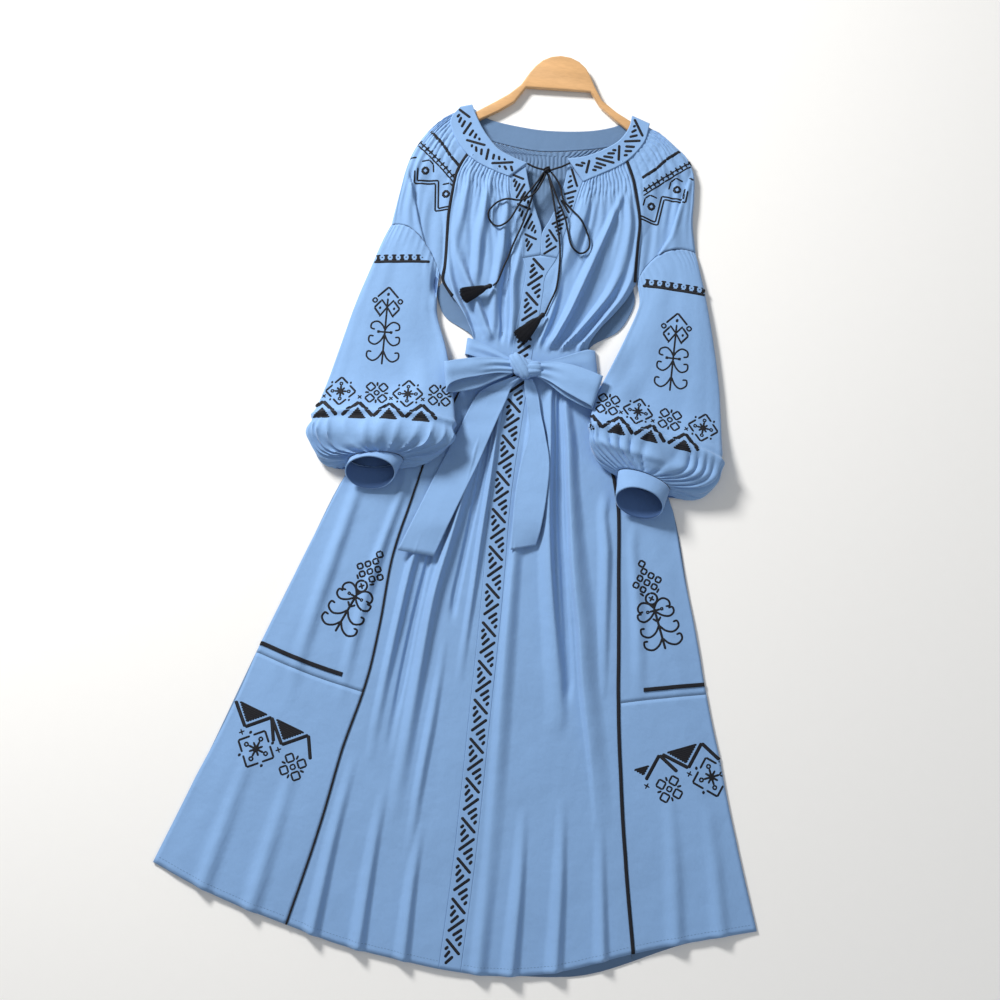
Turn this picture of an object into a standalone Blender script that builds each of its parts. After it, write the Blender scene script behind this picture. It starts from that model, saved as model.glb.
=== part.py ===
"""An a-line dress on a wooden hanger, laid flat on its back.

The floor is z = 0, +Y runs along the dress towards the neck and +X towards its left arm.
The origin is the point of the floor under the belt's knot. Sizes are in millimetres,
and MM turns them into metres where a mesh is made.
"""
import math
from collections import namedtuple

import bmesh
import bpy
from mathutils import Vector

MM = 0.001

# Cloth and clearances
CLOTH = 1.2
BAND_CLOTH = 1.8
TAPE_CLOTH = 0.8
SEAM = 0.3
LAID_ON = 0.35

# Widths of the narrow pieces
CENTRE_BAND_HALF = 14.5
SEAM_TAPE_HALF = 2.6
SEAM_FLAT = 4.6
KNEE_TAPE_HALF = 0.0045
CORD_RADIUS = 1.5

# Heights of the front layer's underside above the floor
EDGE_HEIGHT = 1.75
LOFT = 2.5
LOFT_REACH = 38.0
SHOULDER_LIFT = 7.0
SHOULDER_FROM = 140.0
SHOULDER_TO = 285.0
BELT_BACK_LIFT = 1.6
BELT_BACK_LOW = -9.0
BELT_BACK_HIGH = 48.0
BELT_RAMP = 9.0

# How many waves the gathered edges have
FRONT_COLUMNS = 12
CAP_FRONT_COLUMNS = 10
SHIRR_HEIGHT = 1.5

# The rows of the bodice from the neckband down to the waist, for each front panel:
# the outer end lies on the raglan seam and then on the body's edge,
# the inner end on the edge of the V band and then of the centre band.
Row = namedtuple("Row", "outer_x outer_y inner_x inner_y")
BODICE = {
    "left": [
        Row(-126, 311, -61, 285),
        Row(-138, 282, -59, 264),
        Row(-141, 248, -51, 240),
        Row(-142, 215, -43, 215),
        Row(-140, 185, -35, 190),
        Row(-138, 158, -27, 165),
        Row(-137, 138, -20.5, 143),
        Row(-137, 118, -21, 120),
        Row(-125, 101, -21.5, 98),
        Row(-109, 82, -22.5, 78),
        Row(-95, 63, -23.5, 58),
        Row(-83, 43, -24.5, 38),
        Row(-80, 18, -25, 14),
        Row(-82, -8, -26, -10),
    ],
    "right": [
        Row(102, 331, 44, 290),
        Row(116, 301, 40, 270),
        Row(126, 268, 36, 248),
        Row(133, 238, 31, 225),
        Row(134, 208, 26, 199),
        Row(135, 182, 21, 171),
        Row(136, 162, 8.5, 143),
        Row(136, 143, 8, 120),
        Row(126, 120, 7.5, 98),
        Row(111, 97, 6.8, 78),
        Row(94, 73, 5.5, 58),
        Row(82, 47, 4.5, 38),
        Row(85, 18, 4, 14),
        Row(93, -8, 3, -10),
    ],
}

# The skirt's seams at each part of its length, from the waist (0) to the hem (1)
Skirt = namedtuple("Skirt", "part edge_left seam_left centre seam_right edge_right")
SKIRT = [
    Skirt(0.00, -108, -80, -11.0, 95, 112),
    Skirt(0.08, -152, -98, -12.0, 112, 158),
    Skirt(0.16, -196, -121, -13.5, 135, 198),
    Skirt(0.24, -232, -134, -13.0, 152, 228),
    Skirt(0.36, -262, -151, -8.0, 163, 253),
    Skirt(0.48, -290, -155, -4.5, 174, 280),
    Skirt(0.58, -314, -162, -2.5, 183, 301),
    Skirt(0.70, -338, -181, 0.5, 197, 329),
    Skirt(0.84, -373, -197, 3.0, 216, 361),
    Skirt(1.00, -411, -221, 2.5, 241, 401),
]
Hem = namedtuple("Hem", "x y")
HEM = [
    Hem(-411, -738), Hem(-342, -763), Hem(-285, -780), Hem(-220, -795), Hem(-146, -811),
    Hem(-64, -820), Hem(3, -825), Hem(70, -823), Hem(148, -807), Hem(241, -772),
    Hem(327, -744), Hem(401, -722),
]
HEM_HALF = 406.0
BACK_HEM_DROP = 13.0
BACK_HEM_CENTRE = 205.0
BACK_HEM_REACH = 125.0

KNEE = {"left": 0.60, "right": 0.58}
TAPE_ABOVE_KNEE = 0.018
UPPER_STATIONS = [0.04, 0.08, 0.12, 0.165, 0.21, 0.26, 0.32, 0.38, 0.45, 0.52]
LOWER_STATIONS = [0.67, 0.75, 0.83, 0.91, 0.965, 1.0]

# Long soft folds: a ridge from one end to the other, its half width and height at each end
Fold = namedtuple("Fold", "x0 y0 x1 y1 half0 half1 height0 height1")
FOLDS = [
    Fold(-58, -30, -112, -520, 13, 30, 7, 4),
    Fold(-36, -34, -66, -640, 12, 28, 12, 6),
    Fold(20, -34, 38, -600, 12, 27, 13, 6),
    Fold(48, -34, 96, -640, 12, 30, 10, 6),
    Fold(72, -36, 150, -420, 11, 26, 6, 4),
    Fold(-150, -420, -176, -812, 22, 34, 3, 7),
    Fold(-230, -330, -292, -782, 22, 34, 3, 6),
    Fold(-310, -520, -362, -756, 18, 30, 2, 5),
    Fold(-104, -560, -112, -818, 24, 32, 3, 7),
    Fold(-40, -600, -44, -824, 22, 30, 3, 6),
    Fold(52, -560, 66, -824, 24, 32, 3, 8),
    Fold(118, -560, 146, -808, 22, 32, 4, 7),
    Fold(186, -360, 214, -782, 20, 30, 3, 6),
    Fold(262, -400, 318, -750, 20, 32, 3, 6),
    Fold(-40, 52, -62, 200, 11, 22, 6, 2),
    Fold(-66, 60, -106, 220, 11, 20, 5, 2),
    Fold(20, 50, 44, 190, 10, 20, 6, 2),
    Fold(46, 56, 92, 236, 11, 22, 7, 2),
    Fold(66, 62, 118, 170, 9, 14, 4, 1),
]
FOLD_END = 46.0

# Sleeve caps: one row for each bodice row down to the armpit, outer fold and middle point
Cap = namedtuple("Cap", "outer_x outer_y middle_x middle_y")
CAPS = {
    "left": [
        Cap(-143, 379, -154, 350), Cap(-172, 358, -168, 322), Cap(-192, 333, -178, 293),
        Cap(-206, 304, -184, 266), Cap(-213, 275, -186, 242), Cap(-217, 240, -186, 218),
        Cap(-220, 212, -183, 197), Cap(-222, 190, -180, 180),
    ],
    "right": [
        Cap(128, 387, 121, 361), Cap(150, 377, 142, 342), Cap(172, 361, 156, 315),
        Cap(190, 346, 164, 294), Cap(203, 321, 168, 268), Cap(207, 286, 168, 242),
        Cap(209, 248, 167, 220), Cap(218, 206, 167, 196),
    ],
}
CAP_BACK_COLUMNS = 8

# Rings of the lower sleeves: outer and inner end of the flat section, bend of its middle
# along the sleeve, full height, lean of the top along Y and height of the gathers
Ring = namedtuple("Ring", "outer_x outer_y inner_x inner_y bend height lean gather")
SLEEVES = {
    "left": [
        Ring(-231, 164, -143, 101, 21, 10, 0, 0.8),
        Ring(-242, 122, -141, 82, 12, 12, 0, 0.4),
        Ring(-256, 65, -137, 60, 4, 14, 0, 0.0),
        Ring(-268, 0, -118, 14, 0, 14, 0, 0.0),
        Ring(-277, -50, -102, -38, 2, 17, 0, 0.0),
        Ring(-285, -88, -93, -76, 4, 26, 2, 0.6),
        Ring(-291, -113, -89, -101, 6, 38, 8, 1.2),
        Ring(-288, -139, -94, -124, 0, 40, 4, 1.4),
        Ring(-268, -164, -118, -143, -2, 34, 26, 1.8),
    ],
    "right": [
        Ring(226, 182, 146, 124, 21, 10, 0, 0.8),
        Ring(240, 140, 144, 105, 12, 12, 0, 0.4),
        Ring(256, 81, 133, 68, 4, 14, 0, 0.0),
        Ring(271, 16, 118, 22, 0, 14, 0, 0.0),
        Ring(279, -35, 103, -22, 2, 17, 0, 0.0),
        Ring(284, -72, 98, -50, 4, 26, 2, 0.6),
        Ring(288, -100, 97, -72, 6, 38, 8, 1.2),
        Ring(286, -124, 98, -92, 0, 40, 4, 1.4),
        Ring(262, -146, 112, -112, -2, 34, 26, 1.8),
    ],
}
SLEEVE_AROUND = 28
SLEEVE_SEAM = 1.3
SLEEVE_TO_ARMPIT = 0.93
SLEEVE_SUPPORT = 8.2
SUPPORT_RAMP = 34.0

# Cuffs: the seam ring and the free ring, each by its middle, half across and half rise
Cuff = namedtuple("Cuff", "x y z across_x across_y rise_y rise_z")
CUFFS = {
    "left": [
        Cuff(-192, -158, 22.5, -37, -5, 9, 12.5),
        Cuff(-197, -178, 28.0, -35, -2, 20, 17.5),
    ],
    "right": [
        Cuff(181, -140, 22.5, 37, -8, 9, 12.5),
        Cuff(178, -172, 28.0, 34, -4, 18, 17.5),
    ],
}
CUFF_AROUND = 28
# Where the sleeve ends before the cuff, as a share of the cuff's length
CUFF_GAP = -0.04

# Neckband in front, from the shoulder to the V: free inner edge and sewn outer edge
Band = namedtuple("Band", "inner_x inner_y outer_x outer_y")
NECKBANDS = {
    "left": [
        Band(-130, 385, -147, 379), Band(-123, 371, -158, 360), Band(-112, 353, -155, 343),
        Band(-100, 338, -140, 321), Band(-83, 322, -119, 302), Band(-60, 312, -91, 290),
        Band(-38.5, 306, -62, 282),
    ],
    "right": [
        Band(103, 398, 130, 389), Band(100, 378, 126, 362), Band(89, 358, 113, 339),
        Band(71, 343, 95, 320), Band(45, 328, 69, 303), Band(18, 320, 45, 288),
    ],
}
# Each V band: its inner edge, for the bodice rows from the neckband to the point
VEdge = namedtuple("VEdge", "inner_x inner_y")
V_BANDS = {
    "left": [
        VEdge(-41, 302), VEdge(-34, 279), VEdge(-26, 254), VEdge(-17, 231), VEdge(-8, 208),
        VEdge(-3, 172),
    ],
    "right": [
        VEdge(20, 314), VEdge(18, 283), VEdge(14, 253), VEdge(8, 226), VEdge(1, 203),
        VEdge(-1, 172),
    ],
}
BackBand = namedtuple("BackBand", "top_x top_y low_x low_y")
BACK_BAND = [
    BackBand(-127, 384, -138, 358), BackBand(-110, 373, -112, 343),
    BackBand(-80, 367, -82, 335.5), BackBand(-24, 364, -24, 331),
    BackBand(35, 370, 38, 341), BackBand(75, 381, 82, 353), BackBand(100, 396, 116, 370),
]
# The back's edge beside the underarm, where it shows past the front
BACK_UNDERARM = {
    "left": [(-143, 104), (-138, 84), (-124, 63), (-86, 43), (-82, 18), (-84, -8)],
    "right": [(140, 122), (134, 98), (120, 74), (85, 47), (87, 18), (95, -8)],
}

# Belt
BELT_UNDER = 9.6
KNOT_SIZE = (30, 26, 15)
KNOT_AT = (-4, 0, 21.5)
Strip = namedtuple("Strip", "upper_x upper_y lower_x lower_y z")
BELT_WRAPS = {
    "left": [
        Strip(-19.5, 10, -19.5, -7, 16.6), Strip(-34, 17, -34, -2, 13.0),
        Strip(-52, 25, -52, 4, 10.8), Strip(-70, 31, -72, 9, 9.4),
        Strip(-84, 36, -85, 12, 8.4), Strip(-89.8, 37, -89.8, 13, 5.6),
        Strip(-90.8, 37.5, -90.8, 13, 0.4),
    ],
    "right": [
        Strip(11.5, 10, 11.5, -8, 16.6), Strip(28, 17, 30, -4, 13.0),
        Strip(46, 25, 52, -5, 10.8), Strip(62, 33, 72, -4, 9.4),
        Strip(80, 41, 91, 1, 8.9), Strip(91, 42, 99.8, 3, 5.8),
        Strip(92.5, 42, 101.2, 3, 0.4),
    ],
}
BOW_LOOPS = {
    "left": [
        Strip(-19.5, 9, -19.5, -10, 20.5), Strip(-44, 9, -42, -23, 19.0),
        Strip(-72, 4, -66, -38, 21.0), Strip(-98, -3, -90, -47, 24.0),
        Strip(-113, -8, -104, -50, 25.5),
    ],
    "right": [
        Strip(11.5, 10, 11.5, -9, 20.5), Strip(36, 13, 32, -18, 19.0),
        Strip(62, 11, 54, -32, 21.0), Strip(86, 5, 78, -43, 24.0),
        Strip(103, 0, 94, -48, 25.5),
    ],
}
LOOP_HEIGHT = 9.0
TAIL_AT_KNOT = 15.6
TAILS = {
    "left": [
        Strip(-18, -13.6, -6, -13.6, 0), Strip(-52, -31, -19, -30, 0), Strip(-67, -48, -23, -46, 0),
        Strip(-82, -90, -34, -84, 0), Strip(-103, -150, -51, -145, 0), Strip(-124, -215, -73, -214, 0),
        Strip(-145, -279, -94, -281, 0),
    ],
    "right": [
        Strip(-3, -13.6, 9, -13.6, 0), Strip(1, -32, 19, -30, 0), Strip(9, -62, 28, -62, 0),
        Strip(14, -92, 37, -90, 0), Strip(8, -135, 48, -130, 0), Strip(6, -180, 50, -178, 0),
        Strip(8, -225, 48, -222, 0), Strip(10, -258, 44, -247, 0),
    ],
}

# Drawstring: routes by hand, with the lift of each point over the cloth
CORD_KNOT = (-9, 297)
CORD_KNOT_RADIUS = 5.5
Stop = namedtuple("Stop", "x y lift")
CORDS = {
    "cord_neck_left": [Stop(-38.9, 303.9, 0.5), Stop(-28, 300, 0), Stop(-14.4, 297.4, 0)],
    "cord_neck_right": [Stop(22.5, 312.7, 0.5), Stop(9, 304.5, 0), Stop(-4.0, 299, 0)],
    "cord_loop_left": [
        Stop(-10.2, 291.2, 4), Stop(-14, 278, 4.6), Stop(-22, 260, 6), Stop(-38, 247, 7.4),
        Stop(-57, 246, 3), Stop(-71, 243, 0), Stop(-80, 234, 0), Stop(-85, 221, 0),
        Stop(-79, 210, 0), Stop(-66, 205, 0), Stop(-55, 213, 1), Stop(-48, 228, 3.4),
        Stop(-41, 244, 3.6), Stop(-30, 262, 3.6), Stop(-19.5, 280, 3.7), Stop(-13.5, 293.1, 3.9),
    ],
    "cord_loop_right": [
        Stop(-3.4, 295.2, 4), Stop(5, 286, 2), Stop(13, 275, 0), Stop(19, 257, 0),
        Stop(28, 248, 0), Stop(40, 237, 0), Stop(53, 222, 0), Stop(63, 205, 0),
        Stop(65, 191, 0), Stop(58, 182, 0), Stop(47, 182, 0), Stop(38, 191, 0),
        Stop(32, 210, 0), Stop(25, 230, 3.6), Stop(14, 250, 3.6), Stop(3, 271, 3.6), Stop(-6.5, 291.6, 4),
    ],
    "cord_end_left": [
        Stop(-11.7, 292.3, 0), Stop(-24, 262, 0), Stop(-28, 240, 0), Stop(-34, 214, 0),
        Stop(-43, 184, 0), Stop(-52, 149, 0), Stop(-58.5, 123, 0), Stop(-64.2, 115.9, 0.6),
    ],
    "cord_end_right": [
        Stop(-7.4, 291.9, 0), Stop(-3, 281, 0), Stop(5, 256, 0), Stop(13, 228, 0),
        Stop(22, 194, 0), Stop(26, 164, 0), Stop(26, 126, 0), Stop(19, 101, 0),
        Stop(14.4, 85.6, 0.6),
    ],
}
CORD_STEP = 8.0
CORD_CLEAR = 0.5
Tassel = namedtuple("Tassel", "x y to_x to_y")
TASSELS = {
    "tassel_left": Tassel(-65, 115.5, -108, 92),
    "tassel_right": Tassel(14, 85, -19, 41),
}
TASSEL_HEAD = 12.0
TASSEL_HEAD_WIDTH = 7.0
TASSEL_STRANDS = (7, 2)
TASSEL_CLEAR = 0.3

# Hanger: a thin arched plate with two arms, drawn by its outline from the left tip round
HANGER_THICK = 8.0
HANGER_Z = 6.2
HANGER_CENTRE = (-7.0, 434.0)
HANGER_ARCH = 46.0
HANGER_LEFT = [
    (-173, 322), (-176, 316), (-170, 311), (-146, 338), (-120, 363), (-92, 381), (-70, 399), (-56, 424),
]
HANGER_RIGHT = [
    (38, 430), (54, 409), (78, 391), (100, 377), (126, 354), (158, 322), (164, 326), (162, 332),
]
HANGER_TOP_RIGHT = [(136, 362), (107, 389), (81, 402), (57, 418), (45, 436)]
HANGER_TOP_LEFT = [(-54, 447), (-64, 427), (-79, 411), (-98, 396), (-125, 376), (-152, 349)]


# Colours of the pieces: red, green, blue, roughness
COLOURS = {
    "blue_cloth": (0.205, 0.376, 0.679, 0.85),
    "dark_trim": (0.012, 0.013, 0.018, 0.80),
    "embroidered_band": (0.100, 0.190, 0.360, 0.80),
    "honey_wood": (0.560, 0.330, 0.150, 0.45),
}


def material(name):
    found = bpy.data.materials.get(name)
    if found:
        return found
    red, green, blue, roughness = COLOURS[name]
    made = bpy.data.materials.new(name)
    made.use_nodes = True
    shader = made.node_tree.nodes["Principled BSDF"]
    shader.inputs["Base Color"].default_value = (red, green, blue, 1.0)
    shader.inputs["Roughness"].default_value = roughness
    made.diffuse_color = (red, green, blue, 1.0)
    return made


def smooth(value):
    value = min(1.0, max(0.0, value))
    return value * value * (3.0 - 2.0 * value)


def mix(low, high, share):
    return low + (high - low) * share


def spline(values, at):
    """A smooth curve through numbers that stand one apart."""
    at = min(max(at, 0.0), len(values) - 1.0)
    index = min(int(at), len(values) - 2)
    share = at - index
    here, after = values[index], values[index + 1]
    before = values[index - 1] if index > 0 else 2 * here - after
    beyond = values[index + 2] if index + 2 < len(values) else 2 * after - here
    bend = 3 * (here - after) + beyond - before
    return here + 0.5 * share * (after - before
                                 + share * (2 * before - 5 * here + 4 * after - beyond + share * bend))


def table_value(rows, key, name, at):
    """Column `name` where column `key` has the value `at`."""
    keys = [getattr(row, key) for row in rows]
    at = min(max(at, keys[0]), keys[-1])
    index = max(i for i in range(len(keys) - 1) if keys[i] <= at)
    share = (at - keys[index]) / (keys[index + 1] - keys[index])
    return spline([getattr(row, name) for row in rows], index + share)


def skirt_x(part, name):
    return table_value(SKIRT, "part", name, part)


def row_y(part, x):
    """Height of a skirt row: the hem's own curve, scaled to the row."""
    half = 0.5 * (skirt_x(part, "edge_right") - skirt_x(part, "edge_left"))
    return part * table_value(HEM, "x", "y", x * HEM_HALF / half)


def outline_distance(x, y):
    """Distance in from the dress's own outline, along X."""
    if y > 0:
        rise = smooth((y - 35.0) / 85.0)
        left = mix(-82.0, -230.0, rise)
        right = mix(84.0, 230.0, rise)
    else:
        part = min(1.0, -y / 750.0)
        left = skirt_x(part, "edge_left")
        right = skirt_x(part, "edge_right")
    return min(x - left, right - x)


def belt_lift(y):
    rise = smooth((y - BELT_BACK_LOW + BELT_RAMP) / BELT_RAMP)
    fall = smooth((BELT_BACK_HIGH + BELT_RAMP - y) / BELT_RAMP)
    return BELT_BACK_LIFT * rise * fall


def fold_height(x, y):
    """The highest ridge at this place."""
    total = 0.0
    for fold in FOLDS:
        along_x, along_y = fold.x1 - fold.x0, fold.y1 - fold.y0
        length = math.hypot(along_x, along_y)
        along = ((x - fold.x0) * along_x + (y - fold.y0) * along_y) / length
        across = abs((x - fold.x0) * along_y - (y - fold.y0) * along_x) / length
        share = along / length
        half = mix(fold.half0, fold.half1, min(1.0, max(0.0, share)))
        at_hem = fold.y1 < -740
        inside = smooth((along + 12.0) / FOLD_END)
        inside *= 1.0 if at_hem else smooth((length - along + 20.0) / FOLD_END)
        if across < half and inside > 0:
            wave = 0.5 + 0.5 * math.cos(math.pi * across / half)
            total = max(total, wave * inside * mix(fold.height0, fold.height1, min(1.0, max(0.0, share))))
    return total


def front_height(x, y):
    """Underside of the front layer."""
    loft = LOFT * smooth(outline_distance(x, y) / LOFT_REACH)
    shoulder = SHOULDER_LIFT * smooth((y - SHOULDER_FROM) / (SHOULDER_TO - SHOULDER_FROM))
    return EDGE_HEIGHT + loft + shoulder + belt_lift(y) + fold_height(x, y)


def drape_height(x, y, reach):
    """What a piece laid here rests on: the front's top, at its highest within reach."""
    highest = 0.0
    for ring in (0.0, 0.5, 1.0):
        for step in range(8 if ring else 1):
            angle = step * math.pi / 4
            highest = max(highest, front_height(x + ring * reach * math.cos(angle),
                                                y + ring * reach * math.sin(angle)))
    return highest + CLOTH


def new_object(name, mesh, colour, collection):
    made = bpy.data.objects.new(name, mesh)
    mesh.materials.append(material(colour))
    collection.objects.link(made)
    return made


def to_mesh(shape, name):
    bmesh.ops.scale(shape, vec=(MM, MM, MM), verts=shape.verts)
    bmesh.ops.recalc_face_normals(shape, faces=shape.faces)
    mesh = bpy.data.meshes.new(name)
    shape.to_mesh(mesh)
    shape.free()
    mesh.shade_smooth()
    mesh.set_sharp_from_angle(angle=math.radians(40))
    return mesh


def placed_grid(columns, rows, place, fine_rows=0):
    """A grid whose point at (column, row) goes to place(column, row).

    The first `fine_rows` rows get a half column between each two columns.
    """
    shape = bmesh.new()
    bmesh.ops.create_grid(shape, x_segments=columns, y_segments=rows, size=0.5)
    if fine_rows:
        limit = (fine_rows + 0.1) / rows - 0.5
        across = [edge for edge in shape.edges
                  if max(point.co.y for point in edge.verts) < limit
                  and abs(edge.verts[0].co.y - edge.verts[1].co.y) < 1e-6]
        bmesh.ops.subdivide_edges(shape, edges=across, cuts=1, use_grid_fill=True)
    for point in shape.verts:
        column = (point.co.x + 0.5) * columns
        row = (point.co.y + 0.5) * rows
        point.co = Vector(place(round(column * 2) / 2, round(row)))
    return shape


def sheet(name, collection, columns, rows, place, colour, thickness=CLOTH, fine_rows=0):
    """A cloth piece: its underside from place(), its top straight above, so that sides stand
    upright and two pieces with the same edge keep the seam's gap all along."""
    shape = placed_grid(columns, rows, place, fine_rows)
    made = bmesh.ops.extrude_face_region(shape, geom=shape.faces[:])
    top = [item for item in made["geom"] if isinstance(item, bmesh.types.BMVert)]
    bmesh.ops.translate(shape, vec=(0, 0, thickness), verts=top)
    return new_object(name, to_mesh(shape, name), colour, collection)


def shell(name, collection, columns, rows, place, colour, thickness=CLOTH, fine_rows=0, closed=False):
    """A curved wall: its outer face from place(), thickened inwards."""
    shape = placed_grid(columns, rows, place, fine_rows)
    if closed:
        bmesh.ops.remove_doubles(shape, verts=shape.verts, dist=0.01)
    made = new_object(name, to_mesh(shape, name), colour, collection)
    wall = made.modifiers.new("wall", "SOLIDIFY")
    wall.thickness = thickness * MM
    wall.offset = -1.0
    return made


def column_share(column, columns, width, flat_at_start=True, flat_at_end=False):
    """Share of a row's width for a column, with a narrow flat strip beside a taped seam."""
    start = SEAM_FLAT / width if flat_at_start else 0.0
    end = 1.0 - (SEAM_FLAT / width if flat_at_end else 0.0)
    first = 1 if flat_at_start else 0
    last = columns - (1 if flat_at_end else 0)
    if column < first:
        return start * column
    if column > last:
        return end + (1.0 - end) * (column - last)
    return start + (end - start) * (column - first) / (last - first)


def stations(side):
    """The skirt's rows from the waist down; both sides of a seam share them."""
    knee = KNEE[side]
    tape = knee - TAPE_ABOVE_KNEE
    return UPPER_STATIONS + [tape - KNEE_TAPE_HALF, tape + KNEE_TAPE_HALF, knee] + LOWER_STATIONS


def sign_of(side):
    return -1.0 if side == "left" else 1.0


def seam_point(side, row):
    """A point of the raglan and princess seam."""
    bodice = BODICE[side]
    if row < len(bodice):
        return bodice[row].outer_x, bodice[row].outer_y
    part = stations(side)[row - len(bodice)]
    x = skirt_x(part, "seam_" + side)
    return x, row_y(part, x)


def centre_edge(side, row):
    """A point of the V band's and the centre band's edge."""
    bodice = BODICE[side]
    if row < len(bodice):
        return bodice[row].inner_x, bodice[row].inner_y
    part = stations(side)[row - len(bodice)]
    x = skirt_x(part, "centre") + sign_of(side) * CENTRE_BAND_HALF
    return x, row_y(part, x)


def row_total(side):
    return len(BODICE[side]) + len(stations(side))


def front_panel(side, collection):
    sign = sign_of(side)
    bodice = len(BODICE[side])

    def place(column, row):
        outer_x, outer_y = seam_point(side, row)
        inner_x, inner_y = centre_edge(side, row)
        outer_x -= sign * SEAM / 2
        inner_x += sign * SEAM / 2
        width = abs(inner_x - outer_x)
        share = column_share(column, FRONT_COLUMNS, width)
        x = mix(outer_x, inner_x, share)
        if row < bodice:
            y = mix(outer_y, inner_y, share)
        else:
            y = row_y(stations(side)[row - bodice], x)
        z = front_height(x, y) if column > 1 else front_height(*seam_point(side, row))
        if row < 4 and 1.25 < column < FRONT_COLUMNS:
            wave = 1.0 if (column * 2) % 2 else 0.0
            z += SHIRR_HEIGHT * wave * (1.0, 0.9, 0.6, 0.0)[row]
        return x, y, z

    return sheet("front_" + side, collection, FRONT_COLUMNS, row_total(side) - 1, place,
                 "blue_cloth", fine_rows=3)


def side_edge(side, row):
    """The skirt's outer edge; the first row lies under the belt."""
    bodice = len(BODICE[side])
    if row < bodice:
        seam_x, seam_y = seam_point(side, row)
        return seam_x + sign_of(side) * 15.0, seam_y
    part = stations(side)[row - bodice]
    x = skirt_x(part, "edge_" + side)
    return x, row_y(part, x)


SIDE_COLUMNS = 6


def side_point(side, column, row):
    """A point of the side panel's underside, counted from the princess seam outwards."""
    sign = sign_of(side)
    seam_x, seam_y = seam_point(side, row)
    edge_x, edge_y = side_edge(side, row)
    start = seam_x + sign * SEAM / 2
    width = abs(edge_x - start)
    x = mix(start, edge_x, column_share(column, SIDE_COLUMNS, width))
    bodice = len(BODICE[side])
    y = mix(seam_y, edge_y, column / SIDE_COLUMNS)
    if row >= bodice:
        y = row_y(stations(side)[row - bodice], x)
    z = front_height(x, y) if column > 1 else front_height(seam_x, seam_y)
    return x, y, z


def side_panels(side, collection):
    first = len(BODICE[side]) - 1
    knee_row = len(BODICE[side]) + stations(side).index(KNEE[side])
    last = row_total(side) - 1

    def upper(column, row):
        x, y, z = side_point(side, column, first + row)
        shift = SEAM / 2 if first + row == knee_row else 0.0
        return x, y + shift, z

    def lower(column, row):
        x, y, z = side_point(side, column, knee_row + row)
        shift = SEAM / 2 if row == 0 else 0.0
        return x, y - shift, z

    sheet("front_side_" + side + "_upper", collection, SIDE_COLUMNS, knee_row - first, upper, "blue_cloth")
    sheet("front_side_" + side + "_lower", collection, SIDE_COLUMNS, last - knee_row, lower, "blue_cloth")

    # The knee tape lies on the upper piece, from its edge to near the seam
    tape_row = knee_row - 2

    def tape(column, row):
        x, y, z = side_point(side, column + 2, tape_row + row)
        return x, y, z + CLOTH + LAID_ON

    sheet("knee_tape_" + side, collection, SIDE_COLUMNS - 2, 1, tape, "dark_trim", TAPE_CLOTH)


def seam_trim(side, collection):
    """A narrow tape along the raglan seam, the body's edge and the princess seam."""
    total = row_total(side)
    points = [seam_point(side, row) for row in range(total)]

    def place(column, row):
        x, y = points[row]
        before = points[max(0, row - 1)]
        after = points[min(total - 1, row + 1)]
        along = Vector((after[0] - before[0], after[1] - before[1])).normalized()
        reach = SEAM_TAPE_HALF * (2 * column - 1)
        # The tape's two edges keep to the row's own height, so it stays inside the flat strip
        shift_x = reach / max(0.6, abs(along.y))
        z = front_height(x, y) + CLOTH + LAID_ON
        return x + shift_x, y, z

    sheet("seam_trim_" + side, collection, 1, total - 1, place, "dark_trim", TAPE_CLOTH)


def centre_band(collection):
    bodice = len(BODICE["left"])
    first = 5
    total = row_total("left")

    def place(column, row):
        row += first
        left_x, left_y = centre_edge("left", row)
        if row < bodice:
            right_x, right_y = centre_edge("right", row)
        else:
            part = stations("left")[row - bodice]
            right_x = skirt_x(part, "centre") + CENTRE_BAND_HALF
            right_y = row_y(part, right_x)
        share = column / 2
        x = mix(left_x + SEAM / 2, right_x - SEAM / 2, share)
        y = mix(left_y, right_y, share)
        if row >= bodice:
            y = row_y(stations("left")[row - bodice], x)
        if row == first:
            x += 1.0 - column
            y -= 0.5
        return x, y, front_height(x, y)

    sheet("centre_band", collection, 2, total - 1 - first, place, "embroidered_band", BAND_CLOTH)


def v_band(side, collection):
    edges = V_BANDS[side]
    sign = sign_of(side)

    def place(column, row):
        outer_x, outer_y = centre_edge(side, row)
        edge = edges[row]
        share = column / 2
        x = mix(outer_x - sign * SEAM / 2, edge.inner_x, share)
        y = mix(outer_y, edge.inner_y, share)
        return x, y, front_height(x, y) + 0.4 * share

    sheet("v_band_" + side, collection, 2, len(edges) - 1, place, "embroidered_band", BAND_CLOTH)


def neckband_front(side, collection):
    rows = NECKBANDS[side]

    def place(column, row):
        band = rows[row]
        share = column / 2
        x = mix(band.outer_x, band.inner_x, share)
        y = mix(band.outer_y, band.inner_y, share)
        return x, y, front_height(x, y) + CLOTH + SHIRR_HEIGHT + LAID_ON

    sheet("neckband_front_" + side, collection, 2, len(rows) - 1, place, "embroidered_band", BAND_CLOTH)


def neckband_back(collection):
    def place(column, row):
        band = BACK_BAND[row]
        return mix(band.low_x, band.top_x, column / 2), mix(band.low_y, band.top_y, column / 2), 0.0

    sheet("neckband_back", collection, 2, len(BACK_BAND) - 1, place, "embroidered_band", 1.5)


def back_side_point(side, row, stage):
    """The back's outer edge for one of its rows."""
    armpit = len(CAPS[side]) - 1
    bodice = len(BODICE[side])
    if row <= armpit:
        x, y = seam_point(side, row)
        return x, y
    if row < bodice:
        return BACK_UNDERARM[side][row - armpit - 1]
    x = skirt_x(stage, "edge_" + side)
    return x, row_y(stage, x)


BACK_STATIONS = [0.04, 0.12, 0.24, 0.40, 0.58, 0.80, 1.0]
BACK_COLUMNS = 8


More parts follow.
